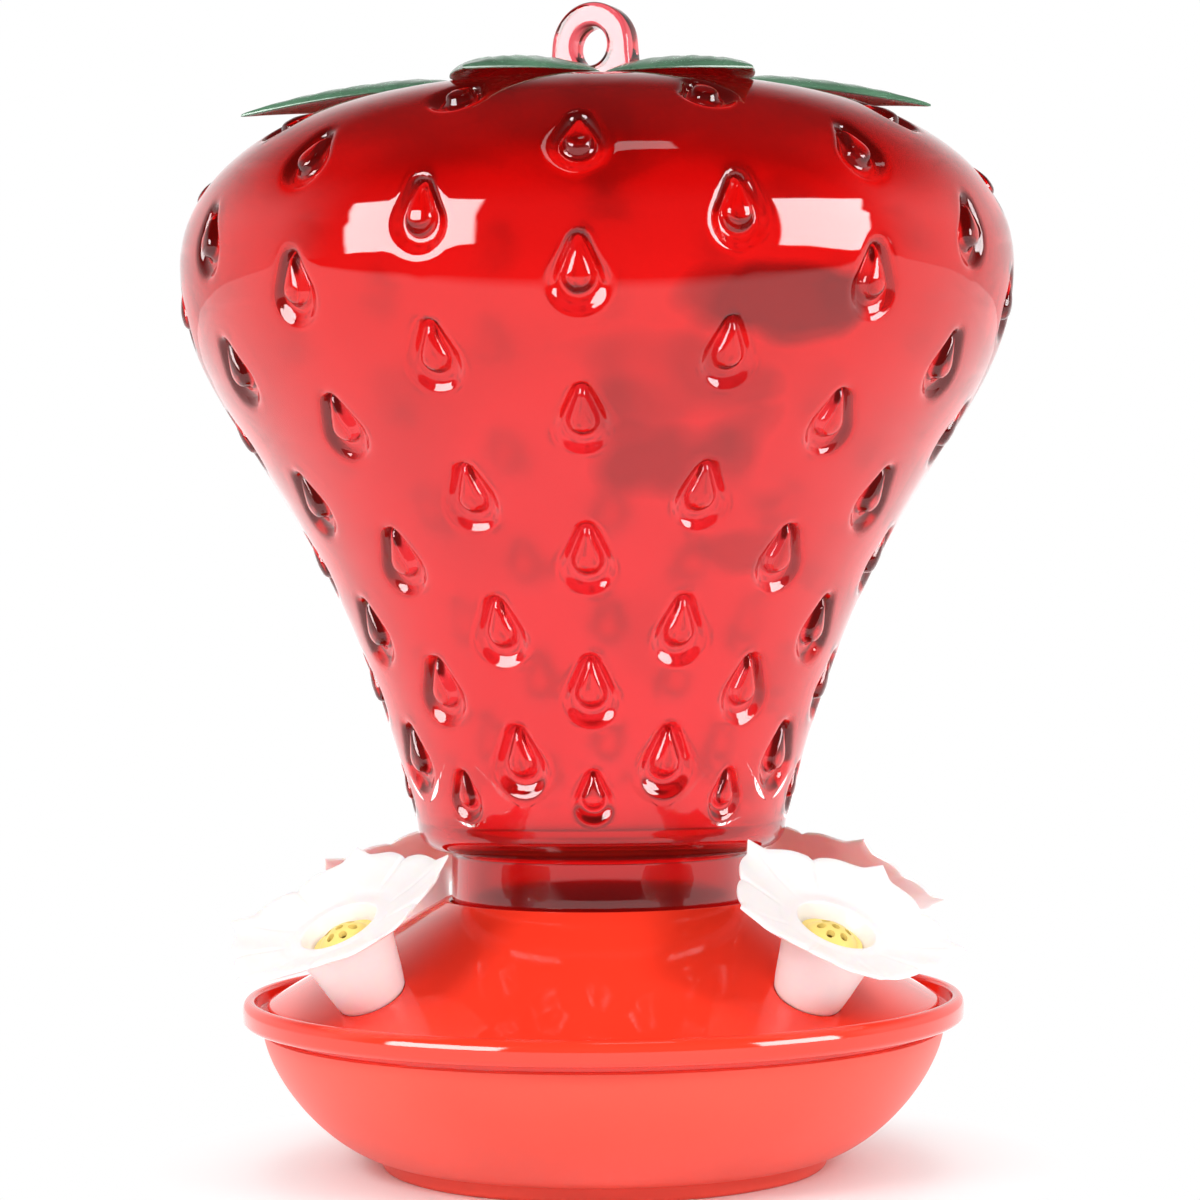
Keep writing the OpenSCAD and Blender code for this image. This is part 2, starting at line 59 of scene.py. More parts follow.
FOOT_R, FOOT_H, FOOT_T = 41.0, 2.8, 3.0
BOWL_R, BOWL_H, BOWL_WALL, BOWL_ROUND = 62.6, 25.8, 2.2, 1.52
FLOOR_Z = FOOT_H + BOWL_WALL
BAND_Z, BAND_H, BAND_R, BAND_T = 27.0, 4.6, 66.5, 2.5
GUTTER_R, GUTTER_Z, CONE_R = 64.0, 28.6, 62.4
COVER_WALL, SKIRT_H, TUBE_Z = 2.2, 4.0, 16.0
NECK_R, FINISH_R, BORE_R = 27.75, 26.65, 24.95
COLLAR_R, LEDGE_R = 28.1, 24.6
MOUTH_Z, NECK_Z, LEDGE_Z = 49.0, 37.0, 35.0
SCREW_PITCH = 6.0
HEEL_Z, HEEL_R, HEEL_ROUND = 58.1, 34.1, 5.0
BELLY_R, BELLY_Z, CROWN_R, CROWN_Z = 76.5, 165.1, 34.0, 195.0
BOTTLE_WALL = 2.4
SHANK_R, SHANK_BORE, BOSS_R, SHANK_L = 3.5, 3.55, 6.55, 6.5
LEAF_T, LEAF_HOLE = 1.3, 6.75
EYE_R, EYE_FOOT, EYE_T, EYE_BORE, EYE_Z = 8.1, 8.9, 5.0, 3.6, 206.2
FLANGE_R, FLANGE_T, EYE_TURN = 11.5, 1.6, -30.0
PORT_RING, PORT_TURN, PORT_R, PORT_SEAT = 53.3, -48.8, 4.9, 0.6
EDGE_R = 1.2
CONE_TOP = (29.7, 48.8)
CONE_END = (61.2, 31.0)
CONE_SLOPE = (CONE_TOP[1] - CONE_END[1]) / (CONE_END[0] - CONE_TOP[0])
CONE_TILT = atan2(CONE_SLOPE, 1.0)

FLANK = ((34.1, 63.1), (50.692, 131.1), (76.5, 135.1), (76.5, 165.1))
SHOULDER = ((76.5, 165.1), (76.5, 182.1), (56.0, 195.0), (34.0, 195.0))

SEED_COUNT, SEED_ROWS = 9, 11
SEED_FIRST, SEED_PITCH, SEED_STAGGER, SEED_TURN, HEEL_SEED = 7.2, 11.35, 0.95, -2.3, 0.72
DIMPLE_W, DIMPLE_TIP = 4.7, 8.6

# Painted shade: dark patches on the bottle's front that stand in for the dark shapes seen through its wall: place
# across, height, half sizes in metres, and how dark
PAINTED_SHADE_PATCHES = ((0.030, 0.1515, 0.0165, 0.0050, 0.70), (0.010, 0.140, 0.014, 0.0075, 0.35),
                (0.018, 0.1255, 0.015, 0.0085, 0.52), (0.023, 0.113, 0.008, 0.004, 0.35))

LEAF_TURNS = (-78, -21, 26, 76, 128, 180, 231)
LEAF_SIZES = (1, 0.94, 0.92, 0.95, 1, 0.93, 0.97)
LEAF_L, LEAF_BULGE, LEAF_ARCH, LEAF_DROOP, LEAF_CLEAR, ROOT_R = 65.5, 8.6, 2.3, 4.6, 0.9, 17.0

TUBE_FOOT, TUBE_FULL, TUBE_H, TUBE_BORE = 5.9, 7.4, 14.6, 3.3
PETAL_COUNT, PETAL_R, PETAL_OUT, PETAL_POINT, PETAL_RISE, PETAL_T = 5, 13.0, 7.0, 2.2, 3.4, 1.1
POINT_W, BLOSSOM_TURNS = 4.0, (0, -25, 18, 33)
SPIGOT_R, SPIGOT_L, GUARD_BORE, GUARD_PLUG, GUARD_SINK, THROAT_R = 4.8, 6.0, 4.7, 3.0, 3.4, 5.9


# What a user would change

class FeederBottleLooks(bpy.types.PropertyGroup):
    """The strawberry bottle, its leaves and its hanging eye"""
    berry_red: FloatVectorProperty(
        name="Berry red", description="Tint of the bottle's clear plastic",
        subtype="COLOR", size=3, min=0, max=1, default=(0.995, 0.13, 0.11))
    berry_depth: FloatProperty(
        name="Berry depth", description="How fast the bottle's colour deepens with its thickness, each metre",
        min=0, max=2000, default=450.0)
    seed_height: FloatProperty(
        name="Seed height", description="How far a seed stands out past the bottle",
        unit="LENGTH", min=0, max=0.002, default=0.0006)
    dimple_depth: FloatProperty(
        name="Dimple depth", description="Depth of the hollow round a seed",
        unit="LENGTH", min=0, max=0.002, default=0.0014)
    thread_height: FloatProperty(
        name="Thread height", description="Height of the neck's screw thread",
        unit="LENGTH", min=0, max=0.0009, default=0.00085)
    leaf_green: FloatVectorProperty(
        name="Leaf green", description="Colour of the leaves",
        subtype="COLOR", size=3, min=0, max=1, default=(0.060, 0.135, 0.080))
    eye_pink: FloatVectorProperty(
        name="Eye pink", description="Tint of the hanging eye's clear plastic",
        subtype="COLOR", size=3, min=0, max=1, default=(1.0, 0.80, 0.82))


class FeederDishLooks(bpy.types.PropertyGroup):
    """The bowl, its cover and the flowers on it"""
    cover_red: FloatVectorProperty(
        name="Cover red", description="Colour of the glossy cover",
        subtype="COLOR", size=3, min=0, max=1, default=(0.88, 0.040, 0.017))
    bowl_coral: FloatVectorProperty(
        name="Bowl coral", description="Colour of the satin bowl",
        subtype="COLOR", size=3, min=0, max=1, default=(0.86, 0.084, 0.052))
    petal_white: FloatVectorProperty(
        name="Petal white", description="Colour of the flowers",
        subtype="COLOR", size=3, min=0, max=1, default=(0.90, 0.84, 0.83))
    guard_yellow: FloatVectorProperty(
        name="Guard yellow", description="Colour of the bee guards",
        subtype="COLOR", size=3, min=0, max=1, default=(0.92, 0.70, 0.20))
    gasket_white: FloatVectorProperty(
        name="Gasket white", description="Colour of the neck's gasket",
        subtype="COLOR", size=3, min=0, max=1, default=(0.80, 0.78, 0.74))


class FeederStageLooks(bpy.types.PropertyGroup):
    """The floor, the lamps and the camera"""
    floor_white: FloatProperty(
        name="Floor white", description="Lightness of the floor",
        subtype="FACTOR", min=0, max=1, default=0.9)
    lamp_watts: FloatProperty(
        name="Lamp power", description="Power of each soft lamp",
        unit="POWER", min=0, max=100, default=8.0)
    sky: FloatProperty(
        name="Room light", description="Strength of the even light all round",
        min=0, max=3, default=0.62)
    camera_back: FloatProperty(
        name="Camera distance", description="From the feeder's axis to the camera",
        unit="LENGTH", min=0.3, max=3, default=0.5735)
    camera_height: FloatProperty(
        name="Camera height", description="Height of the camera over the table",
        unit="LENGTH", min=0, max=1, default=0.1021)
    camera_roll: FloatProperty(
        name="Camera roll", description="How far the camera leans over sideways",
        subtype="ANGLE", min=-0.2, max=0.2, default=radians(-0.5))
    lens: FloatProperty(
        name="Lens", description="Focal length of the camera in millimetres",
        min=20, max=300, default=93.0)


# Curves and outlines

def arc(centre, rx, rz, start, end, n):
    """Points along an elliptical arc, angles in degrees."""
    turns = [radians(start + (end - start) * i / n) for i in range(n + 1)]
    return [(centre[0] + rx * cos(a), centre[1] + rz * sin(a)) for a in turns]


def bezier(p, t):
    """A point on a cubic curve."""
    u = 1 - t
    return tuple(p[0][i] * u ** 3 + 3 * p[1][i] * t * u * u + 3 * p[2][i] * t * t * u + p[3][i] * t ** 3
                 for i in (0, 1))


def smoothstep(a, b, x):
    """0 up to a, 1 from b on, and smooth between."""
    t = min(max((x - a) / (b - a), 0.0), 1.0)
    return t * t * (3 - 2 * t)


def table_at(table, x):
    """Reads a table of (x, y) rows at x, with straight lines between its rows."""
    for (x0, y0), (x1, y1) in zip(table, table[1:]):
        if x <= x1:
            return y0 + (y1 - y0) * (x - x0) / (x1 - x0)
    return table[-1][1]


class Outline:
    """A profile of (radius, height) points that is read by the distance along it."""

    def __init__(self, points):
        self.points = points
        self.along = [0.0]
        for a, b in zip(points, points[1:]):
            self.along.append(self.along[-1] + hypot(b[0] - a[0], b[1] - a[1]))

    def at(self, s):
        """Radius, height, and the two parts of the outward normal at distance s."""
        lo, hi = 0, len(self.along) - 1
        s = min(max(s, 0.0), self.along[-1])
        while hi - lo > 1:
            mid = (lo + hi) // 2
            lo, hi = (mid, hi) if self.along[mid] <= s else (lo, mid)
        t = (s - self.along[lo]) / (self.along[hi] - self.along[lo])
        a, b = self.points[lo], self.points[hi]
        before, after = self.points[max(lo - 1, 0)], self.points[min(hi + 1, len(self.points) - 1)]
        way0 = (b[0] - before[0], b[1] - before[1])
        way1 = (after[0] - a[0], after[1] - a[1])
        n0, n1 = hypot(*way0), hypot(*way1)
        dr = way0[0] / n0 * (1 - t) + way1[0] / n1 * t
        dz = way0[1] / n0 * (1 - t) + way1[1] / n1 * t
        n = hypot(dr, dz)
        return a[0] + (b[0] - a[0]) * t, a[1] + (b[1] - a[1]) * t, dz / n, -dr / n

    def where(self, z):
        """Distance along at which a climbing outline reaches height z."""
        for i, (a, b) in enumerate(zip(self.points, self.points[1:])):
            if a[1] <= z <= b[1] and b[1] > a[1]:
                return self.along[i] + (self.along[i + 1] - self.along[i]) * (z - a[1]) / (b[1] - a[1])
        return self.along[-1]


# Meshes and materials

def add_piece(name, points, faces, body, nodes=(), materials=(), crease=40, inner=()):
    """Makes one piece from points in millimetres, smooth but for creases, and rides it on its body."""
    mesh = bpy.data.meshes.new(name)
    mesh.from_pydata([(p[0] * MM, p[1] * MM, p[2] * MM) for p in points], [], faces)
    bm = bmesh.new()
    bm.from_mesh(mesh)
    if inner:
        inside = bm.faces.layers.float.new("inside")
        bm.faces.ensure_lookup_table()
        for i in inner:
            bm.faces[i][inside] = 1.0
    bmesh.ops.remove_doubles(bm, verts=bm.verts, dist=1e-7)
    bmesh.ops.dissolve_degenerate(bm, edges=bm.edges, dist=1e-8)
    bmesh.ops.recalc_face_normals(bm, faces=bm.faces)
    bm.to_mesh(mesh)
    bm.free()
    return dress(bpy.data.objects.new(name, mesh), body, nodes, materials, crease)


def dress(piece, body, nodes=(), materials=(), crease=40):
    """Links a piece, shades it smooth and tells the frame what it rides on and stands for."""
    if piece.name not in bpy.context.scene.collection.objects:
        bpy.context.scene.collection.objects.link(piece)
    mesh = piece.data
    mesh.shade_smooth()
    mesh.set_sharp_from_angle(angle=radians(crease))
    if mesh.materials:
        mesh.materials.clear()
    for material in materials:
        mesh.materials.append(material)
    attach(piece, body)
    if nodes:
        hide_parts(*nodes)
    return piece


def grid_faces(rows, cols, closed=True, start=0):
    """Quads between rows of points, each row joined round where it is closed."""
    faces = []
    for i in range(rows - 1):
        for j in range(cols if closed else cols - 1):
            k = (j + 1) % cols
            faces.append((start + i * cols + j, start + i * cols + k,
                          start + (i + 1) * cols + k, start + (i + 1) * cols + j))
    return faces


def turned(profile, n, lift=None):
    """Points and faces of a closed profile turned about the axis. It runs with the solid on its left."""
    points, start = [], []
    for r, z in profile:
        start.append(len(points))
        count = n if r > 1e-6 else 1
        for j in range(count):
            a = 2 * pi * j / n
            rr, zz = lift(r, z, a) if lift else (r, z)
            points.append((rr * cos(a), rr * sin(a), zz))
    faces, m = [], len(profile)
    for i in range(m):
        k = (i + 1) % m
        lone_a, lone_b = profile[i][0] <= 1e-6, profile[k][0] <= 1e-6
        if lone_a and lone_b:
            continue
        for j in range(n):
            l = (j + 1) % n
            a, b = start[i], start[k]
            if lone_a:
                faces.append((a, b + l, b + j))
            elif lone_b:
                faces.append((a + j, a + l, b))
            else:
                faces.append((a + j, a + l, b + l, b + j))
    return points, faces


def cut(piece, tool, operation="DIFFERENCE"):
    """Cuts or joins one mesh with another and throws the tool away."""
    way = piece.modifiers.new("Cut", "BOOLEAN")
    way.operation, way.solver, way.object = operation, "EXACT", tool
    for thing in (piece, tool):
        if thing.name not in bpy.context.scene.collection.objects:
            bpy.context.scene.collection.objects.link(thing)
    graph = bpy.context.evaluated_depsgraph_get()
    mesh = bpy.data.meshes.new_from_object(piece.evaluated_get(graph))
    piece.modifiers.clear()
    piece.data = mesh
    bpy.data.objects.remove(tool)
    return piece


def raw_mesh(name, points, faces):
    """A loose mesh object in millimetres, for cutting and joining."""
    mesh = bpy.data.meshes.new(name)
    mesh.from_pydata([(p[0] * MM, p[1] * MM, p[2] * MM) for p in points], [], faces)
    bm = bmesh.new()
    bm.from_mesh(mesh)
    bmesh.ops.remove_doubles(bm, verts=bm.verts, dist=1e-7)
    bmesh.ops.recalc_face_normals(bm, faces=bm.faces)
    bm.to_mesh(mesh)
    bm.free()
    return bpy.data.objects.new(name, mesh)


class Finish:
    """A material of one Principled shader, and short calls for the nodes that feed it."""

    def __init__(self, name, **values):
        self.material = bpy.data.materials.new(name)
        self.material.use_nodes = True
        self.tree = self.material.node_tree
        self.shader = next(n for n in self.tree.nodes if n.type == "BSDF_PRINCIPLED")
        self.out = next(n for n in self.tree.nodes if n.type == "OUTPUT_MATERIAL")
        for socket, value in values.items():
            self.set(socket.replace("_", " "), value)
        self.place = self.node("ShaderNodeTexCoord").outputs["Object"]

    def set(self, socket, value):
        if isinstance(value, (tuple, list)) and len(value) == 3:
            value = (*value, 1)
        self.shader.inputs[socket].default_value = value

    def node(self, kind, **inputs):
        made = self.tree.nodes.new(kind)
        for name, value in inputs.items():
            self.feed(made.inputs[name.replace("_", " ")], value)
        return made

    def feed(self, socket, value):
        if isinstance(value, bpy.types.NodeSocket):
            self.tree.links.new(value, socket)
        else:
            socket.default_value = value

    def noise(self, scale, detail=3, rough=0.5):
        return self.node("ShaderNodeTexNoise", Vector=self.place, Scale=scale, Detail=detail,
                         Roughness=rough).outputs["Fac"]

    def ramp(self, value, low, high, a, b):
        """The value between low and high, spread from a to b."""
        return self.node("ShaderNodeMapRange", Value=value, From_Min=low, From_Max=high,
                         To_Min=a, To_Max=b).outputs["Result"]

    def blend(self, factor, a, b):
        """A colour between a and b."""
        mix = self.tree.nodes.new("ShaderNodeMix")
        mix.data_type = "RGBA"
        for socket, value in ((0, factor), (6, a), (7, b)):
            if isinstance(value, (tuple, list)) and len(value) == 3:
                value = (*value, 1)
            self.feed(mix.inputs[socket], value)
        return mix.outputs[2]

    def maths(self, how, a, b=0.0):
        made = self.tree.nodes.new("ShaderNodeMath")
        made.operation = how
        self.feed(made.inputs[0], a)
        self.feed(made.inputs[1], b)
        return made.outputs[0]

    def bump(self, height, strength, distance, normal=None):
        made = self.node("ShaderNodeBump", Height=height, Strength=strength, Distance=distance)
        if normal:
            self.tree.links.new(normal, made.inputs["Normal"])
        return made.outputs["Normal"]

    def colour(self, value):
        self.feed(self.shader.inputs["Base Color"], value)

    def rough(self, value):
        self.feed(self.shader.inputs["Roughness"], value)

    def normal(self, value):
        self.feed(self.shader.inputs["Normal"], value)


def shade(colour, by):
    """The colour made lighter or darker."""
    return tuple(min(c * by, 1.0) for c in colour)


def clear_plastic(name, tint, depth, rough, glow=0.0, paint_light_and_shade=None, matt=None):
    """Clear moulded plastic, which takes its depth of colour from its thickness.

    The glow is painted light, a faint emission that stands for the little light that the plastic scatters. A colour
    function, where given, paints light and shade into the colour.
    """
    finish = Finish(name, Transmission_Weight=1.0, IOR=1.49, Emission_Strength=glow, Emission_Color=tint)
    colour = shade(tint, 0.97)
    finish.colour(paint_light_and_shade(finish, colour) if paint_light_and_shade else (*colour, 1))
    if matt:
        mark = finish.node("ShaderNodeAttribute")
        mark.attribute_name = "inside"
        rough = finish.maths("ADD", finish.maths("MULTIPLY", mark.outputs["Fac"], matt), rough)
    finish.rough(rough)
    finish.material.cycles.emission_sampling = "NONE"
    inside = finish.node("ShaderNodeVolumeAbsorption", Density=depth[0])
    inside.inputs["Color"].default_value = (*depth[1], 1)
    finish.tree.links.new(inside.outputs[0], finish.out.inputs["Volume"])
    return finish.material


def solid_plastic(name, colour, rough, grain, **values):
    """Opaque moulded plastic with faint flow marks."""
    finish = Finish(name, IOR=1.5, **values)
    cloud = finish.ramp(finish.noise(35, 1), 0.3, 0.7, 0, 1)
    finish.colour(finish.blend(cloud, shade(colour, 0.93), shade(colour, 1.05)))
    finish.rough(rough)
    finish.normal(finish.bump(finish.noise(30, 0), 1.0, grain * 2.5))
    return finish.material


# The bottle

def berry_outline():
    """The strawberry's outside from its underside to its crown."""
    heel = arc((HEEL_R - HEEL_ROUND, HEEL_Z + HEEL_ROUND), HEEL_ROUND, HEEL_ROUND, -90, 0, 16)
    flank = [bezier(FLANK, i / 160) for i in range(1, 161)]
    shoulder = [bezier(SHOULDER, i / 110) for i in range(1, 111)]
    return Outline(heel + flank + shoulder)


def drop_outline(wide, tip, blunt, n):
    """4n points of a drop from its tip clockwise: round below, and narrowing above to a blunt end."""
    if wide < 1e-6:
        side = [(0.0, tip * (1 - i / n)) for i in range(n)]
        return side + [(0.0, 0.0)] * (2 * n) + [(0.0, tip * i / n) for i in range(n)]
    top = tip - blunt
    a = asin((wide - blunt) / top)
    bend, line, heel = blunt * (pi / 2 - a), top * cos(a), wide * a
    side = []
    for i in range(n):
        d = (bend + line + heel) * i / n
        if d < bend:
            b = pi / 2 - d / blunt
            side.append((blunt * cos(b), top + blunt * sin(b)))
        elif d < bend + line:
            t = (d - bend) / line
            r, z = blunt + (wide - blunt) * t, top * (1 - t)
            side.append((r * cos(a), z + r * sin(a)))
        else:
            b = a - (d - bend - line) / wide
            side.append((wide * cos(b), wide * sin(b)))
    low = [(wide * cos(pi / 2 * i / n), -wide * sin(pi / 2 * i / n)) for i in range(n)]
    right = side + low
    return right + [(0.0, -wide)] + [(-x, y) for x, y in reversed(right[1:])]


class Berry:
    """The strawberry's skin: a lattice of diamonds, each with one seed let into it."""
    side = 10

    def __init__(self, seed_height, dimple_depth):
        self.skin = berry_outline()
        self.points, self.faces = [], []
        self.foot_s = self.skin.where(HEEL_Z + HEEL_ROUND) + 0.6
        # Size of a ring of the drop's outline, and how high it lies
        self.rings = (
            (0.0, seed_height), (0.16, seed_height * 0.96), (0.29, seed_height * 0.80),
            (0.38, seed_height * 0.50), (0.45, seed_height * 0.05), (0.52, -dimple_depth * 0.42),
            (0.58, -dimple_depth * 0.80), (0.64, -dimple_depth * 0.98), (0.71, -dimple_depth),
            (0.81, -dimple_depth * 0.80), (0.92, -dimple_depth * 0.50), (1.03, -dimple_depth * 0.22),
            (1.13, -dimple_depth * 0.08), (1.26, -dimple_depth * 0.02), (1.4, 0.0))
        # Length above its middle, and bluntness, of a ring by its size
        self.tips = ((0.0, 3.4), (0.64, 7.2), (1.0, 8.2), (1.4, 10.2))
        self.blunts = ((0.0, 0.0), (0.64, 0.7), (1.0, 2.2), (1.4, 3.6))

    def column(self, c):
        return radians(SEED_TURN - 90 + 180 / SEED_COUNT * c)

    def point(self, angle, s, up=0.0):
        r, z, nr, nz = self.skin.at(s)
        r += nr * up
        return r * cos(angle), r * sin(angle), z + nz * up

    def levels(self):
        """Distance along and size of each ring of seeds, then of the corners between them."""
        zs = [CROWN_Z - SEED_FIRST - SEED_PITCH * j + (j % 2) * SEED_STAGGER for j in range(SEED_ROWS)]
        zs.append(HEEL_Z + HEEL_ROUND + DIMPLE_W * HEEL_SEED + 2)
        rows = [(self.skin.where(z), 1.0) for z in zs[:-1]] + [(self.skin.where(zs[-1]), HEEL_SEED)]
        last = len(rows)
        corner = {-1: rows[0][0] + DIMPLE_TIP + 5, last: rows[-1][0] - DIMPLE_W * HEEL_SEED - 0.9}
        for j in range(last):
            above = rows[j - 1][0] - DIMPLE_W * rows[j - 1][1] if j else rows[0][0] + 12.3
            below = rows[j + 1][0] + DIMPLE_TIP * rows[j + 1][1] if j < last - 1 else self.foot_s
            corner[j] = (above + below) / 2
        return rows, corner

    def seed(self, c, s, size, top, bottom, beside):
        """One diamond, with rings of the drop's outline inside and even rings out to its edge."""
        n, start, a0 = self.side, len(self.points), self.column(c)
        step = radians(180 / SEED_COUNT)
        ends = ((a0, top), (a0 + step, beside), (a0, bottom), (a0 - step, beside), (a0, top))
        edge = [(p[0] + (q[0] - p[0]) * i / n, p[1] + (q[1] - p[1]) * i / n)
                for p, q in zip(ends, ends[1:]) for i in range(n)]
        rim = []
        for u, up in self.rings:
            rim = []
            seed = 1 - smoothstep(0.5, 0.9, u)
            for x, y in drop_outline(DIMPLE_W * u, table_at(self.tips, u), table_at(self.blunts, u), n):
                at = s + (y + 1.2 * seed) * size
                angle = a0 + x * size / self.skin.at(at)[0]
                rim.append((angle, at))
                fall = 0.13 * max(y - 0.6, 0) ** 1.3 * (1 - smoothstep(0.45, 0.7, u))
                self.points.append(self.point(angle, at, (up - fall) * size))
        out = 4
        for i in range(1, out + 1):
            t = (i / out) ** 1.2
            for p, q in zip(rim, edge):
                self.points.append(self.point(p[0] + (q[0] - p[0]) * t, p[1] + (q[1] - p[1]) * t))
        self.faces += [f[::-1] for f in grid_faces(len(self.rings) + out, 4 * n, start=start)]

    def zigzag(self, high, low, i):
        """Height of the lattice's upper or lower edge at angle step i, between its corners."""
        t = (i % (2 * self.side)) / self.side
        return high + (low - high) * (t if t <= 1 else 2 - t)

    def strip(self, rows):
        """Joins rows of points that have one point at each angle step."""
        start, n = len(self.points), len(rows[0])
        for row in rows:
            self.points += row
        self.faces += grid_faces(len(rows), n, start=start)

    def build(self):
        rows, corner = self.levels()
        for j, (s, size) in enumerate(rows):
            for k in range(SEED_COUNT):
                self.seed(2 * k + (j + 1) % 2, s, size, corner[j - 1], corner[j + 1], corner[j])
        count = 2 * SEED_COUNT * self.side
        angles = [self.column(0) + 2 * pi * i / count for i in range(count)]
        top_s = corner[-1] + 2
        self.strip([[self.point(a, z + (top_s - z) * t / 3) for i, a in enumerate(angles)
                     for z in [self.zigzag(corner[0], corner[-1], i)]] for t in range(4)])
        last = len(rows)
        self.strip([[self.point(a, self.foot_s + (z - self.foot_s) * t / 2) for i, a in enumerate(angles)
                     for z in [self.zigzag(corner[last], corner[last - 1], i)]] for t in range(3)])
        return angles, top_s


def neck_profile():
    """Outside of the neck from its foot up to the strawberry's underside."""
    rows = [(FINISH_R - 0.5, NECK_Z), (FINISH_R - 0.15, NECK_Z + 0.15), (FINISH_R, NECK_Z + 0.5)]
    rows += [(FINISH_R, NECK_Z + 0.8 + 0.4 * i) for i in range(20)]
    rows += [(FINISH_R, 45.7), (FINISH_R + 0.35, 46.0), (NECK_R - 0.25, 46.65), (NECK_R, 47.0), (NECK_R, 51.0),
             (NECK_R, 54.0)]
    return rows + arc((NECK_R + 1.2, 56.9), 1.2, 1.2, 180, 90, 5)


def thread(z, angle, height, low, high):
    """Height of a screw thread at a place on the neck, fading at its two ends."""
    turn = (z - NECK_Z) / SCREW_PITCH - angle / (2 * pi)
    d = abs(turn - round(turn)) * SCREW_PITCH
    return height * (1 - smoothstep(0.45, 1.15, d)) * smoothstep(low, low + 0.8, z) * (1 - smoothstep(high - 0.8, high, z))


def berry_colour_and_shade(finish, colour):
    """The berry's colour with painted light and shade: paler pink towards its bottom as a painted reflection of the
    white table, painted dark patches on its front, faint dark streaks all round, and painted shade of deep red in its
    neck and round its crown.
    """
    split = finish.node("ShaderNodeSeparateXYZ", Vector=finish.place).outputs
    z = split["Z"]
    # Painted reflection: paler pink towards the bottom, standing in for the white table's reflection
    colour = finish.blend(finish.ramp(z, 0.130, 0.162, 0.85, 0.0), colour, (1.0, 0.30, 0.35))
    ragged = finish.ramp(finish.noise(52, 1), 0.35, 0.65, -1.2, 1.2)
    streaks = finish.noise(26, 1)
    # Faint dark streaks all round, then the painted shade patches, which the ramp on Y keeps to the front
    streaks_and_painted_shade = finish.ramp(streaks, 0.28, 0.42, 0.12, 0.0)
    behind = finish.maths("ADD", ragged, finish.ramp(split["Y"], -0.02, 0, 0, 2))
    for x, height, wide, high, deep in PAINTED_SHADE_PATCHES:
        across = finish.maths("DIVIDE", finish.maths("SUBTRACT", split["X"], x), wide)
        over = finish.maths("DIVIDE", finish.maths("SUBTRACT", z, height), high)
        off = finish.maths("ADD", finish.maths("MULTIPLY", across, across), finish.maths("MULTIPLY", over, over))
        off = finish.maths("ADD", off, behind)
        streaks_and_painted_shade = finish.maths("MAXIMUM", streaks_and_painted_shade, finish.ramp(off, 0.4, 1.3, deep, 0.0))
    # Painted shade: the streaks and patches darken the colour towards near black red
    colour = finish.blend(streaks_and_painted_shade, colour, (0.10, 0.01, 0.015))
    # Painted shade: deep red round the crown, where the leaves shade it
    crown = finish.maths("ADD", finish.ramp(z, 0.176, 0.193, 0.0, 0.75),
                         finish.ramp(streaks, 0.4, 0.6, -0.1, 0.1))
    # Painted shade: deep red in the neck, where the view meets its dark inside
    neck = finish.ramp(z, 0.057, 0.064, 1.0, 0.0)
    return finish.blend(finish.maths("MAXIMUM", crown, neck), colour, (0.74, 0.035, 0.05))


def make_bottle(looks):
    berry = Berry(looks.seed_height / MM, looks.dimple_depth / MM)
    angles, top_s = berry.build()
    end = berry.skin.along[-1]
    height = looks.thread_height / MM
    neck = [[((r + thread(z, a, height, NECK_Z + 0.6, 45.6)) * cos(a),
              (r + thread(z, a, height, NECK_Z + 0.6, 45.6)) * sin(a), z) for a in angles]
            for r, z in neck_profile()]
    heel = [[berry.point(a, berry.foot_s * i / 12) for a in angles] for i in range(13)]
    berry.strip(neck + heel)
    berry.strip([[berry.point(a, top_s + (end - top_s) * i / 8) for a in angles] for i in range(9)])
    crown = [(CROWN_R, CROWN_Z), (20, CROWN_Z), (BOSS_R + 0.6, CROWN_Z), (BOSS_R, CROWN_Z + 0.4),
             (BOSS_R, CROWN_Z + LEAF_T - 0.3), (BOSS_R - 0.3, CROWN_Z + LEAF_T),
             (SHANK_BORE + 0.3, CROWN_Z + LEAF_T), (SHANK_BORE, CROWN_Z + LEAF_T - 0.3),
             (SHANK_BORE, CROWN_Z - SHANK_L - 0.6), (SHANK_BORE - 0.4, CROWN_Z - SHANK_L - 1), (0, CROWN_Z - SHANK_L - 1)]
    berry.strip([[(r * cos(a), r * sin(a), z) for a in angles] for r, z in crown])
    outside = len(berry.faces)
    skin = berry.skin
    lining = [(FINISH_R - 0.5, NECK_Z), (BORE_R + 0.4, NECK_Z), (BORE_R, NECK_Z + 0.4), (BORE_R, 48), (BORE_R, 59.4)]
    lining += arc((BORE_R + 1, HEEL_Z + BOTTLE_WALL - 1), 1, 1, 180, 90, 4)[1:]
    count = 64
    for i in range(count + 1):
        r, z, nr, nz = skin.at(end * (i / count) ** 1.0)
        lining.append((r - nr * BOTTLE_WALL, z - nz * BOTTLE_WALL))
    inside_z = CROWN_Z - BOTTLE_WALL
    lining += [(20, inside_z), (BOSS_R + 1.2, inside_z)]
    lining += arc((BOSS_R + 1.2, inside_z - 1.2), 1.2, 1.2, 90, 180, 4)[1:]
    low = CROWN_Z - SHANK_L - BOTTLE_WALL
    lining += [(BOSS_R, low + 0.5), (BOSS_R - 0.5, low), (0, low)]
    start = len(berry.points)
    for r, z in lining:
        berry.points += [(r * cos(a), r * sin(a), z) for a in angles]
    berry.faces += [f[::-1] for f in grid_faces(len(lining), len(angles), start=start)]
    depth = (looks.berry_depth, (0.982, 0.22, 0.26))
    # The bottle's glow of 0.014 is a painted glow, and its colour carries painted light and shade
    clear = clear_plastic("bottle_clear_red", tuple(looks.berry_red), depth, 0.03, 0.014, berry_colour_and_shade, 0.16)
    return add_piece("strawberry_bottle", berry.points, berry.faces, "bottle", ("bottle",),
                     (clear,), 50, range(outside, len(berry.faces)))


# Leaves

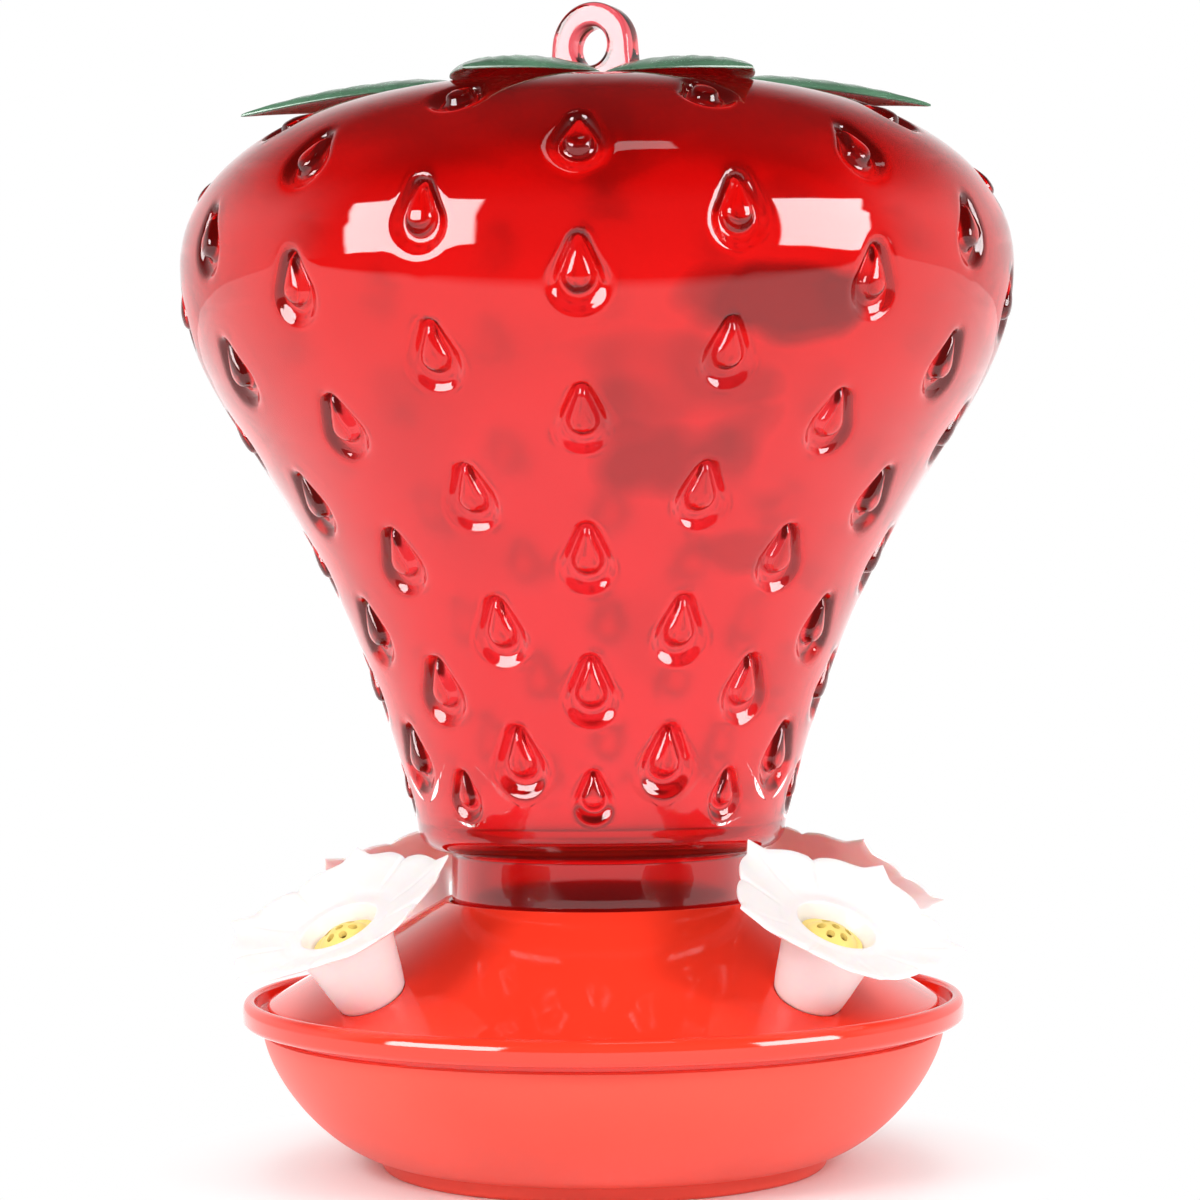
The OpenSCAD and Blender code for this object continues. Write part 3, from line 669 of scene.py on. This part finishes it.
def leaf_mid(i, s, v):
    """A point halfway through leaf i: s runs from root to tip, v from edge to edge."""
    n = len(LEAF_TURNS)
    after = (LEAF_TURNS[(i + 1) % n] - LEAF_TURNS[i]) % 360 / 2
    before = (LEAF_TURNS[i] - LEAF_TURNS[i - 1]) % 360 / 2
    root = ROOT_R * tan(radians(before if v < 0 else after))
    run = ROOT_R + (LEAF_L * LEAF_SIZES[i] - ROOT_R) * s
    out = v * (root * (1 - s) + LEAF_BULGE * sin(pi * s ** 0.85) * (1 - 0.25 * s))
    lift = LEAF_ARCH * sin(pi * s ** 0.8) * (1 - v * v)
    droop = LEAF_DROOP * (hypot(run, out) / LEAF_L) ** 2.6 * min(1, s * 2)
    return run, out, CROWN_Z + LEAF_T / 2 + lift - droop + LEAF_CLEAR * min(1, 3 * s)


def make_leaves(looks):
    rows, cols = 44, 20
    tops, unders = [], []
    points, faces = [], []
    for i, turn in enumerate(LEAF_TURNS):
        n = len(LEAF_TURNS)
        after = (LEAF_TURNS[(i + 1) % n] - LEAF_TURNS[i]) % 360 / 2
        before = (LEAF_TURNS[i] - LEAF_TURNS[i - 1]) % 360 / 2
        for side in (1, -1):
            start = len(points)
            for j in range(rows + 1):
                s = max(j - 1, 0) / (rows - 1)
                s = s * s * (3 - 2 * s) * 0.35 + s * 0.65
                for k in range(cols + 1):
                    v = sin(pi / 2 * (2 * k / cols - 1))
                    run, out, z = leaf_mid(i, s, v)
                    a = radians(turn - 90)
                    x, y = run * cos(a) - out * sin(a), run * sin(a) + out * cos(a)
                    if j == 0:
                        b = a + radians(v * (before if v < 0 else after))
                        x, y, z = LEAF_HOLE * cos(b), LEAF_HOLE * sin(b), CROWN_Z + LEAF_T / 2
                    free = smoothstep(0, 0.14, s)
                    thin = 1 - free * (1 - (0.22 + 0.78 * sqrt(max(1 - abs(v) ** 6, 0))))
                    thin *= 0.3 + 0.7 * sqrt(max(1 - s ** 10, 0))
                    z += side * LEAF_T / 2 * thin
                    if side > 0 and j > 1:
                        rib = 0.34 * exp(-(out / 0.75) ** 2) * (1 - s ** 3)
                        vein = 0.11 * cos(2 * pi * (run - 1.05 * abs(out)) / 6.2) * (1 - v * v) * min(1, abs(out) / 1.5)
                        z -= free * (rib + vein * (1 - s ** 4) + 0.05)
                    points.append((x, y, z))
            grid = grid_faces(rows + 1, cols + 1, closed=False, start=start)
            faces += grid if side > 0 else [f[::-1] for f in grid]
            (tops if side > 0 else unders).append(start)
        top, under, wide = tops[-1], unders[-1], cols + 1
        for k in range(cols):
            faces.append((top + k + 1, top + k, under + k, under + k + 1))
        for j in range(1, rows):
            a, b = j * wide, (j + 1) * wide
            faces.append((top + a, top + b, under + b, under + a))
            a, b = a + cols, b + cols
            faces.append((top + b, top + a, under + a, under + b))
    green = tuple(looks.leaf_green)
    finish = Finish("leaf_green_plastic", IOR=1.5, Specular_IOR_Level=0.6, Coat_Weight=0.3, Coat_Roughness=0.12)
    cloud = finish.ramp(finish.noise(55, 4), 0.3, 0.7, 0, 1)
    finish.colour(finish.blend(cloud, shade(green, 0.75), shade(green, 1.35)))
    finish.rough(finish.ramp(finish.noise(200, 2), 0.3, 0.7, 0.2, 0.34))
    finish.normal(finish.bump(finish.noise(420, 2), 1.0, 0.00005))
    return add_piece("leaf_calyx", points, faces, "bottle", ("leaf_cap",), (finish.material,), 60)


# The hanging eye

def make_eye(looks):
    foot = CROWN_Z + LEAF_T + FLANGE_T / 2
    turns = sorted({radians(a) for a in range(0, 360, 5)} | {
        atan2(foot - EYE_Z, EYE_FOOT) % (2 * pi), atan2(foot - EYE_Z, -EYE_FOOT) % (2 * pi)})

    def reach(a):
        """From the hole's centre out to the eye's outline."""
        if sin(a) >= sin(radians(4)):
            return EYE_R
        x, z = cos(a), sin(a)
        down = (foot - EYE_Z) / z if z < -1e-6 else 1e9
        edge_x, edge_z = EYE_R * cos(radians(4)), EYE_R * sin(radians(4))
        dx, dz = EYE_FOOT - edge_x, foot - EYE_Z - edge_z
        t = (edge_x * dz - edge_z * dx) / (abs(x) * dz - z * dx) if abs(x) > 1e-9 else 1e9
        return min(down, t) if t > 0 else down

    half, bevel = EYE_T / 2, 0.9
    points = []
    for a in turns:
        out = reach(a)
        loop = [(EYE_BORE + bevel * (1 - cos(b)), half - bevel * (1 - sin(b))) for b in
                (radians(22.5 * i) for i in range(5))]
        loop += [(out - bevel * (1 - cos(b)), half - bevel * (1 - sin(b))) for b in
                 (radians(90 - 22.5 * i) for i in range(5))]
        loop += [(r, -y) for r, y in reversed(loop)]
        for r, y in loop:
            points.append((r * cos(a), y, EYE_Z + r * sin(a)))
    m, n = 20, len(turns)
    faces = [(i * m + j, i * m + (j + 1) % m, (i + 1) % n * m + (j + 1) % m, (i + 1) % n * m + j)
             for i in range(n) for j in range(m)]
    c, s = cos(radians(EYE_TURN)), sin(radians(EYE_TURN))
    plate = raw_mesh("hanging_eye", [(x * c - y * s, x * s + y * c, z) for x, y, z in points], faces)
    flange_z = CROWN_Z + LEAF_T
    profile = [(0, CROWN_Z - SHANK_L), (SHANK_R - 0.5, CROWN_Z - SHANK_L), (SHANK_R, CROWN_Z - SHANK_L + 0.5),
               (SHANK_R, flange_z), (FLANGE_R - 0.4, flange_z)]
    profile += arc((FLANGE_R - 0.6, flange_z + 0.6), 0.6, 0.6, -60, 60, 6)
    profile += [(FLANGE_R - 1.2, flange_z + FLANGE_T - 0.25), (FLANGE_R - 2.5, flange_z + FLANGE_T), (0, flange_z + FLANGE_T)]
    stem = raw_mesh("eye_stem", *turned(profile, 96))
    piece = cut(plate, stem, "UNION")
    return dress(piece, "bottle", ("hanger_eye",),
                 (clear_plastic("eye_clear_pink", tuple(looks.eye_pink), (480.0, (0.985, 0.36, 0.42)), 0.05),), 35)


# The dish

def side_r(a, b, z0, z):
    """Radius of the bowl's side, from a foot of radius a at height z0 to b at the rim."""
    return a + (b - a) * (1 - (max(BOWL_H - z, 0) / (BOWL_H - z0)) ** BOWL_ROUND) ** (1 / BOWL_ROUND)


def make_bowl(looks):
    n = 44
    steps = [1 - cos(pi / 2 * i / n) for i in range(n + 1)]
    outer = [(side_r(FOOT_R + 0.6, BOWL_R, FOOT_H, z), z) for z in (FOOT_H + (BOWL_H - 0.35 - FOOT_H) * t for t in steps)]
    inner = [(side_r(FOOT_R - BOWL_WALL / 2, BOWL_R - BOWL_WALL, FLOOR_Z, z), z)
             for z in (FLOOR_Z + (BOWL_H - 0.35 - FLOOR_Z) * t for t in steps)]
    foot_in = FOOT_R - FOOT_T
    profile = [(0, FOOT_H), (foot_in - 0.5, FOOT_H), (foot_in, FOOT_H - 0.5)]
    profile += arc((foot_in + 1.0, 0.7), 0.7, 0.7, 180, 270, 5)
    profile += arc((FOOT_R - 0.9, 0.9), 0.9, 0.9, -90, 0, 6) + [(FOOT_R, FOOT_H - 0.55), (FOOT_R + 0.12, FOOT_H - 0.15)]
    profile += outer + [(BOWL_R - 0.35, BOWL_H), (BOWL_R - BOWL_WALL + 0.35, BOWL_H)] + inner[::-1] + [(0, FLOOR_Z)]
    points, faces = turned(profile, 192)
    finish = solid_plastic("bowl_satin_coral", tuple(looks.bowl_coral), 0.42, 0.00003, Specular_IOR_Level=0.4)
    return add_piece("nectar_dish", points, faces, "bowl", ("nectar_bowl",), (finish,), 40)


def cone_under(r):
    """Height of the cover's underside at radius r."""
    return CONE_TOP[1] - (r - CONE_TOP[0]) * CONE_SLOPE - COVER_WALL / cos(CONE_TILT)


def at_port(k, points):
    """Points round a port's own axis, moved to port k on the cone."""
    turn, z0 = radians(PORT_TURN - 90 + 90 * k), CONE_TOP[1] - (PORT_RING - CONE_TOP[0]) * CONE_SLOPE
    place = (Matrix.Rotation(turn, 4, "Z") @ Matrix.Translation((PORT_RING, 0, z0))
             @ Matrix.Rotation(CONE_TILT, 4, "Y"))
    return [tuple(place @ Vector(p)) for p in points]


def make_cover(looks):
    skirt_z = BOWL_H - SKIRT_H
    bowl_in = [(side_r(FOOT_R - BOWL_WALL / 2, BOWL_R - BOWL_WALL, FLOOR_Z, z) - 0.3, z)
               for z in (BOWL_H, BOWL_H - 1, BOWL_H - 2, BOWL_H - 3, skirt_z)]
    skirt_in, top = bowl_in[-1][0] - COVER_WALL, BAND_Z + BAND_H
    tilt = degrees(CONE_TILT)
    edge = (CONE_END[0] - EDGE_R * sin(CONE_TILT), CONE_END[1] - EDGE_R * cos(CONE_TILT))
    collar_out, tube_r = COLLAR_R + COVER_WALL, LEDGE_R + COVER_WALL
    profile = [(COLLAR_R, 37.2 + 0.45 * i) for i in range(25)]
    profile += arc((COLLAR_R + 0.8, MOUTH_Z - 0.8), 0.8, 0.8, 180, 90, 8)
    profile += arc((CONE_TOP[0] - 0.6, MOUTH_Z - 0.9), 0.9, 0.9, 88, 90 - tilt, 6)
    profile += [(CONE_TOP[0] + (CONE_END[0] - CONE_TOP[0]) * t, CONE_TOP[1] + (CONE_END[1] - CONE_TOP[1]) * t)
                for t in (0.08, 0.25, 0.5, 0.75, 0.92)]
    profile += arc(edge, EDGE_R, EDGE_R, 90 - tilt, 0, 8)
    floor_in = edge[0] + EDGE_R
    profile += arc((floor_in + 0.35, GUTTER_Z + 0.35), 0.35, 0.35, 180, 270, 3)
    profile += arc((GUTTER_R - 0.35, GUTTER_Z + 0.35), 0.35, 0.35, 270, 360, 3)
    profile += arc((GUTTER_R + 0.8, top - 0.8), 0.8, 0.8, 180, 90, 6)
    profile += arc((BAND_R - 1.5, top - 2), 1.5, 2, 90, 0, 10)
    profile += arc((BAND_R - 1.3, BAND_Z + 1.3), 1.3, 1.3, -10, -90, 8)
    profile += [(BOWL_R - 0.4, BAND_Z), (BOWL_R - 0.7, BAND_Z - 0.3), (BOWL_R - 0.7, BOWL_H)] + bowl_in
    profile += [(skirt_in, skirt_z), (skirt_in, cone_under(skirt_in)), (collar_out, cone_under(collar_out)),
                (collar_out, LEDGE_Z - 2), (tube_r, LEDGE_Z - 2), (tube_r, TUBE_Z + 0.4), (tube_r - 0.4, TUBE_Z),
                (LEDGE_R + 0.4, TUBE_Z), (LEDGE_R, TUBE_Z + 0.4), (LEDGE_R, LEDGE_Z), (COLLAR_R, LEDGE_Z)]

    def collar_thread(r, z, a):
        if r > COLLAR_R + 0.01 or not 37 < z < 48.2:
            return r, z
        return r - 0.42 * (thread(z + SCREW_PITCH / 2, a, 1.0, 40.4, 50.6)), z

    # The profile runs with the solid on its right, so its faces are turned round
    points, faces = turned(profile, 192, collar_thread)
    piece = raw_mesh("dish_cover", points, faces)
    for k in range(4):
        for radius, low, high in ((PORT_R, -8.8, 8.8), (TUBE_FOOT + 0.3, -PORT_SEAT, 1.8)):
            shape, sides = turned([(0, low), (radius, low), (radius, high), (0, high)], 64)
            cut(piece, raw_mesh("port_tool", at_port(k, shape), sides))
    finish = solid_plastic("cover_gloss_red", tuple(looks.cover_red), 0.07, 0.000008, Specular_IOR_Level=0.55)
    return dress(piece, "cover", ("base_cover",), (finish,), 38)


def make_gasket(looks):
    profile = []
    for r, z, start in ((COLLAR_R - 0.4 - 0.3, LEDGE_Z + 0.3, -90), (COLLAR_R - 0.7, LEDGE_Z + 1.7, 0),
                        (LEDGE_R + 0.3, LEDGE_Z + 1.7, 90), (LEDGE_R + 0.3, LEDGE_Z + 0.3, 180)):
        profile += arc((r, z), 0.3, 0.3, start, start + 90, 4)
    points, faces = turned(profile, 128)
    finish = solid_plastic("gasket_rubber", tuple(looks.gasket_white), 0.6, 0.00004)
    return add_piece("neck_seal", points, faces, "gasket", ("neck_gasket",), (finish,), 50)


# Flowers

def petal_reach(angle):
    """How far the blossom's outline stands from its axis, and the angle from the nearest petal's middle."""
    step = 2 * pi / PETAL_COUNT
    off = angle - step * round(angle / step)
    bow = PETAL_OUT * cos(off) + sqrt(PETAL_R ** 2 - (PETAL_OUT * sin(off)) ** 2)
    point = (PETAL_OUT + PETAL_R + PETAL_POINT) / (cos(off) + (1.5 + PETAL_POINT) / POINT_W * abs(sin(off)))
    soft = max(0.5 - abs(bow - point), 0)
    return max(bow, point) + 0.25 * soft * soft, off


def make_flower(k, looks, material):
    flare = TUBE_FULL + 2.2
    tip = PETAL_OUT + PETAL_R + PETAL_POINT + 0.3
    side = ((TUBE_FOOT, -PORT_SEAT), (TUBE_FULL, TUBE_H * 0.28), (TUBE_FULL - 0.2, TUBE_H * 0.6),
            (flare, TUBE_H - PETAL_T))
    dish = ((flare, TUBE_H - PETAL_T), (flare + 2.5, TUBE_H), (tip - 6, TUBE_H + PETAL_RISE * 0.25),
            (tip, TUBE_H + PETAL_RISE))
    under = [(flare - 1, TUBE_H - PETAL_T)] + [bezier(dish, i / 60) for i in range(61)]
    seat, throat = TUBE_H - GUARD_SINK, THROAT_R + GUARD_SINK / 3
    n = 240
    turns = [2 * pi * j / n for j in range(n)]
    shares = [i / 15 for i in range(14)] + [0.955, 0.985, 1.0]

    def petal(t, a, upper):
        """A point of the petals' upper or under side: t runs from the tube to the outline."""
        reach, off = petal_reach(a)
        inner = throat + 0.35 if upper else flare
        r = inner + (reach - inner) * t
        free = smoothstep(flare * 0.9, flare + 5, r)
        across = off / (pi / PETAL_COUNT)
        z = table_at(under, r) if r > flare else TUBE_H - PETAL_T
        z += free * (0.55 * across ** 2 - 0.35 + 0.12 * cos(15 * a) * t ** 3)
        edge = ((t - 0.86) / 0.14) ** 2 if t > 0.86 else 0.0
        if not upper:
            return r, z + 0.3 * edge
        rib = 0.2 * exp(-(r * sin(off) / 0.55) ** 2) * (1 - t ** 3)
        seam = 0.4 * exp(-((abs(off) - pi / PETAL_COUNT) * r / 0.6) ** 2)
        return r, z + PETAL_T - 0.42 * edge - free * (rib + seam)

    rows = [[(r, z)] * n for r, z in
            [(SPIGOT_R - 0.4, -SPIGOT_L), (SPIGOT_R, 0.6 - SPIGOT_L), (SPIGOT_R, -PORT_SEAT - 0.05),
             (TUBE_FOOT - 0.35, -PORT_SEAT)] + [bezier(side, i / 20) for i in range(1, 20)]]
    rows += [[petal(t, a, False) for a in turns] for t in shares]
    rows += [[petal(t, a, True) for a in turns] for t in reversed(shares)]
    rows += [[(r, z)] * n for r, z in (
        (throat + 0.1, TUBE_H - 0.08), (throat, TUBE_H - 0.3), (THROAT_R, seat), (GUARD_BORE + 0.2, seat),
        (GUARD_BORE, seat - 0.2), (GUARD_BORE, seat - 2 * GUARD_PLUG), (TUBE_BORE, seat - 2 * GUARD_PLUG),
        (TUBE_BORE, -SPIGOT_L))]
    turn = radians(BLOSSOM_TURNS[k])
    points = [(r * cos(a + turn), r * sin(a + turn), z) for row in rows for (r, z), a in zip(row, turns)]
    faces = grid_faces(len(rows), n)
    last = (len(rows) - 1) * n
    faces += [(last + j, last + (j + 1) % n, (j + 1) % n, j) for j in range(n)]
    return add_piece("blossom_%d" % (k + 1), at_port(k, points), faces, "flower_%d" % (k + 1),
                     ("flower_%d" % (k + 1),), (material,), 50)


# The stage

class Room:
    """The light of the studio round the feeder, by its direction."""

    def __init__(self, tree):
        self.tree = tree
        self.way = self.node("ShaderNodeTexCoord").outputs["Generated"]
        self.split = self.node("ShaderNodeSeparateXYZ", Vector=self.way).outputs

    def node(self, kind, **inputs):
        made = self.tree.nodes.new(kind)
        for name, value in inputs.items():
            self.feed(made.inputs[name.replace("_", " ")], value)
        return made

    def feed(self, socket, value):
        if isinstance(value, bpy.types.NodeSocket):
            self.tree.links.new(value, socket)
        else:
            socket.default_value = value

    def ramp(self, value, low, high, a, b):
        made = self.node("ShaderNodeMapRange", Value=value, From_Min=low, From_Max=high, To_Min=a, To_Max=b)
        made.interpolation_type = "SMOOTHSTEP"
        return made.outputs["Result"]

    def maths(self, how, a, b):
        made = self.node("ShaderNodeMath")
        made.operation = how
        self.feed(made.inputs[0], a)
        self.feed(made.inputs[1], b)
        return made.outputs[0]

    def along(self, axis):
        made = self.node("ShaderNodeVectorMath")
        made.operation = "DOT_PRODUCT"
        self.feed(made.inputs[0], self.way)
        made.inputs[1].default_value = axis
        return made.outputs["Value"]

    def softbox(self, side, up, wide, high, bright):
        """A bright rectangle that gloss shows: turned to the right from the front, raised, and its half sizes."""
        ahead = (sin(side) * cos(up), -cos(side) * cos(up), sin(up))
        across = (cos(side), sin(side), 0.0)
        over = (-sin(side) * sin(up), cos(side) * sin(up), cos(up))
        depth = self.along(ahead)
        inside = self.ramp(depth, 0.0, 0.1, 0.0, bright)
        for axis, reach in ((across, tan(wide)), (over, tan(high))):
            off = self.maths("DIVIDE", self.maths("ABSOLUTE", self.along(axis), 0.0), depth)
            inside = self.maths("MULTIPLY", inside, self.ramp(off, reach * 0.9, reach, 1.0, 0.0))
        return inside

    def light(self, value):
        made = self.node("ShaderNodeBackground", Strength=value)
        made.inputs["Color"].default_value = (1, 1, 1, 1)
        return made.outputs[0]

    def mix(self, factor, a, b):
        made = self.node("ShaderNodeMixShader", Fac=factor)
        self.tree.links.new(a, made.inputs[1])
        self.tree.links.new(b, made.inputs[2])
        return made.outputs[0]

    def show(self, light):
        out = next(n for n in self.tree.nodes if n.type == "OUTPUT_WORLD")
        self.tree.links.new(light, out.inputs["Surface"])


def make_stage(looks):
    scene = bpy.context.scene
    mesh = bpy.data.meshes.new("floor")
    bm = bmesh.new()
    bmesh.ops.create_circle(bm, cap_ends=True, segments=96, radius=6)
    bm.to_mesh(mesh)
    bm.free()
    floor = bpy.data.objects.new("floor", mesh)
    scene.collection.objects.link(floor)
    finish = Finish("floor_paper", Roughness=0.9, Specular_IOR_Level=0.2)
    white = looks.floor_white
    finish.colour(finish.blend(finish.ramp(finish.noise(6, 1), 0.3, 0.7, 0, 1), (white,) * 3, (white * 1.01,) * 3))
    path = finish.node("ShaderNodeLightPath").outputs
    seen = finish.maths("MAXIMUM", path["Is Camera Ray"], path["Is Transmission Ray"])
    away = finish.node("ShaderNodeVectorMath", Vector=finish.place)
    away.operation = "LENGTH"
    far = finish.ramp(away.outputs["Value"], 0.042, 0.085, 0, 1)
    split = finish.node("ShaderNodeSeparateXYZ", Vector=finish.place)
    # Gloss sees a table that ends in front of the feeder, and the white sweep behind it
    table = finish.ramp(split.outputs["Y"], -0.52, -0.42, 0.1, 1.5)
    glow = finish.node("ShaderNodeEmission", Strength=1.0)
    glow.inputs["Color"].default_value = (1, 1, 1, 1)
    dim = finish.node("ShaderNodeEmission", Strength=table)
    dim.inputs["Color"].default_value = (1, 1, 1, 1)
    mix = finish.node("ShaderNodeMixShader", Fac=finish.maths("MULTIPLY", seen, far))
    finish.tree.links.new(finish.shader.outputs[0], mix.inputs[1])
    finish.tree.links.new(glow.outputs[0], mix.inputs[2])
    mirrored = finish.maths("MULTIPLY", finish.maths("SUBTRACT", path["Is Glossy Ray"], seen), far)
    both = finish.node("ShaderNodeMixShader", Fac=finish.maths("MAXIMUM", mirrored, 0.0))
    finish.tree.links.new(mix.outputs[0], both.inputs[1])
    finish.tree.links.new(dim.outputs[0], both.inputs[2])
    finish.tree.links.new(both.outputs[0], finish.out.inputs["Surface"])
    finish.material.cycles.emission_sampling = "NONE"
    mesh.materials.append(finish.material)

    def lamp(name, at, size, watts, look=(0, 0, 0.11)):
        data = bpy.data.lights.new(name, "AREA")
        data.shape, data.size, data.size_y, data.energy = "RECTANGLE", size[0], size[1], watts
        thing = bpy.data.objects.new(name, data)
        thing.location = at
        thing.rotation_euler = (Vector(look) - Vector(at)).to_track_quat("-Z", "Y").to_euler()
        thing.visible_glossy = thing.visible_transmission = False
        scene.collection.objects.link(thing)

    lamp("soft_lamp_left", (-0.62, -0.85, 0.72), (0.42, 0.34), looks.lamp_watts)
    lamp("soft_lamp_right", (0.72, -0.72, 0.62), (0.30, 0.26), looks.lamp_watts * 0.7)
    lamp("soft_lamp_top", (0.0, 0.25, 1.1), (0.7, 0.7), looks.lamp_watts * 0.8)

    world = bpy.data.worlds.new("studio")
    world.use_nodes = True
    scene.world = world
    world.cycles.sampling_method = "NONE"
    room = Room(world.node_tree)
    backdrop = room.ramp(room.split["Z"], 0.26, 0.72, 1.0, 0.2)
    behind = room.maths("MULTIPLY", room.ramp(room.split["Z"], 0.26, 0.72, 1.0, 0.04),
                        room.ramp(room.split["Y"], -0.3, 0.15, 0.1, 1.0))
    shine = behind
    for side, up, wide, high, bright in ((-51, 10, 20, 17, 16.0), (63, 9, 15, 17, 16.0), (20, 74, 9, 4, 3.0)):
        shine = room.maths("ADD", shine, room.softbox(radians(side), radians(up), radians(wide), radians(high),
                                                      bright))
    path = room.node("ShaderNodeLightPath").outputs
    through = room.maths("MAXIMUM", path["Is Camera Ray"], path["Is Transmission Ray"])
    unlit = room.mix(path["Is Glossy Ray"], room.light(looks.sky), room.light(shine))
    room.show(room.mix(through, unlit, room.light(backdrop)))

    data = bpy.data.cameras.new("camera")
    data.sensor_width, data.lens = 36.0, looks.lens
    data.shift_y = 10 / 1200
    camera = bpy.data.objects.new("camera", data)
    camera.matrix_world = (Matrix.Translation((0, -looks.camera_back, looks.camera_height))
                           @ Matrix.Rotation(pi / 2, 4, "X") @ Matrix.Rotation(looks.camera_roll, 4, "Z"))
    scene.collection.objects.link(camera)
    scene.camera = camera
    scene.view_settings.view_transform = "Standard"


# Operators, one for each piece

class FEEDER_OT_stage(bpy.types.Operator):
    """Set the floor, the lamps and the camera"""
    bl_idname = "feeder.stage"
    bl_label = "Stage"

    def execute(self, context):
        make_stage(context.scene.feeder_stage)
        return {"FINISHED"}


class FEEDER_OT_bottle(bpy.types.Operator):
    """Make the strawberry bottle with its seeds and its threaded neck"""
    bl_idname = "feeder.bottle"
    bl_label = "Strawberry Bottle"

    def execute(self, context):
        make_bottle(context.scene.feeder_bottle)
        return {"FINISHED"}


class FEEDER_OT_leaves(bpy.types.Operator):
    """Make the calyx of leaves"""
    bl_idname = "feeder.leaves"
    bl_label = "Leaves"

    def execute(self, context):
        make_leaves(context.scene.feeder_bottle)
        return {"FINISHED"}


class FEEDER_OT_eye(bpy.types.Operator):
    """Make the hanging eye with its flange and shank"""
    bl_idname = "feeder.eye"
    bl_label = "Hanging Eye"

    def execute(self, context):
        make_eye(context.scene.feeder_bottle)
        return {"FINISHED"}


class FEEDER_OT_bowl(bpy.types.Operator):
    """Make the nectar bowl"""
    bl_idname = "feeder.bowl"
    bl_label = "Nectar Bowl"

    def execute(self, context):
        make_bowl(context.scene.feeder_dish)
        return {"FINISHED"}


class FEEDER_OT_cover(bpy.types.Operator):
    """Make the cover with its ports and the neck's gasket"""
    bl_idname = "feeder.cover"
    bl_label = "Cover and Gasket"

    def execute(self, context):
        make_cover(context.scene.feeder_dish)
        make_gasket(context.scene.feeder_dish)
        return {"FINISHED"}


class FEEDER_OT_flowers(bpy.types.Operator):
    """Make the four flowers and finish their bee guards"""
    bl_idname = "feeder.flowers"
    bl_label = "Flowers and Bee Guards"

    def execute(self, context):
        looks = context.scene.feeder_dish
        white = solid_plastic("petal_satin_white", tuple(looks.petal_white), 0.32, 0.00003,
                              Subsurface_Weight=0.25, Subsurface_Scale=0.004)
        yellow = solid_plastic("guard_yellow", tuple(looks.guard_yellow), 0.35, 0.00003)
        for k in range(4):
            make_flower(k, looks, white)
            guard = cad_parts["bee_guard_%d" % (k + 1)]
            guard.data.materials.clear()
            guard.data.materials.append(yellow)
        return {"FINISHED"}


PIECES = (FEEDER_OT_stage, FEEDER_OT_bottle, FEEDER_OT_leaves, FEEDER_OT_eye, FEEDER_OT_bowl, FEEDER_OT_cover,
          FEEDER_OT_flowers)


class FEEDER_PT_pieces(bpy.types.Panel):
    """The feeder's pieces and what can be changed on them"""
    bl_idname = "FEEDER_PT_pieces"
    bl_label = "Hummingbird Feeder"
    bl_space_type = "VIEW_3D"
    bl_region_type = "UI"
    bl_category = "Feeder"

    def draw(self, context):
        layout = self.layout
        for piece in PIECES:
            layout.operator(piece.bl_idname)
        for group in (context.scene.feeder_bottle, context.scene.feeder_dish, context.scene.feeder_stage):
            box = layout.box()
            for name in group.bl_rna.properties.keys():
                if name not in ("rna_type", "name"):
                    box.prop(group, name)


GROUPS = {"feeder_bottle": FeederBottleLooks, "feeder_dish": FeederDishLooks, "feeder_stage": FeederStageLooks}
CLASSES = (*GROUPS.values(), *PIECES, FEEDER_PT_pieces)


def register():
    for cls in CLASSES:
        bpy.utils.register_class(cls)
    for name, group in GROUPS.items():
        setattr(bpy.types.Scene, name, PointerProperty(type=group))


def unregister():
    for name in GROUPS:
        delattr(bpy.types.Scene, name)
    for cls in reversed(CLASSES):
        bpy.utils.unregister_class(cls)


def main():
    """Makes the whole feeder."""
    register()
    for make in (bpy.ops.feeder.stage, bpy.ops.feeder.bottle, bpy.ops.feeder.leaves, bpy.ops.feeder.eye,
                 bpy.ops.feeder.bowl, bpy.ops.feeder.cover, bpy.ops.feeder.flowers):
        make()


if __name__ == "__main__":
    main()
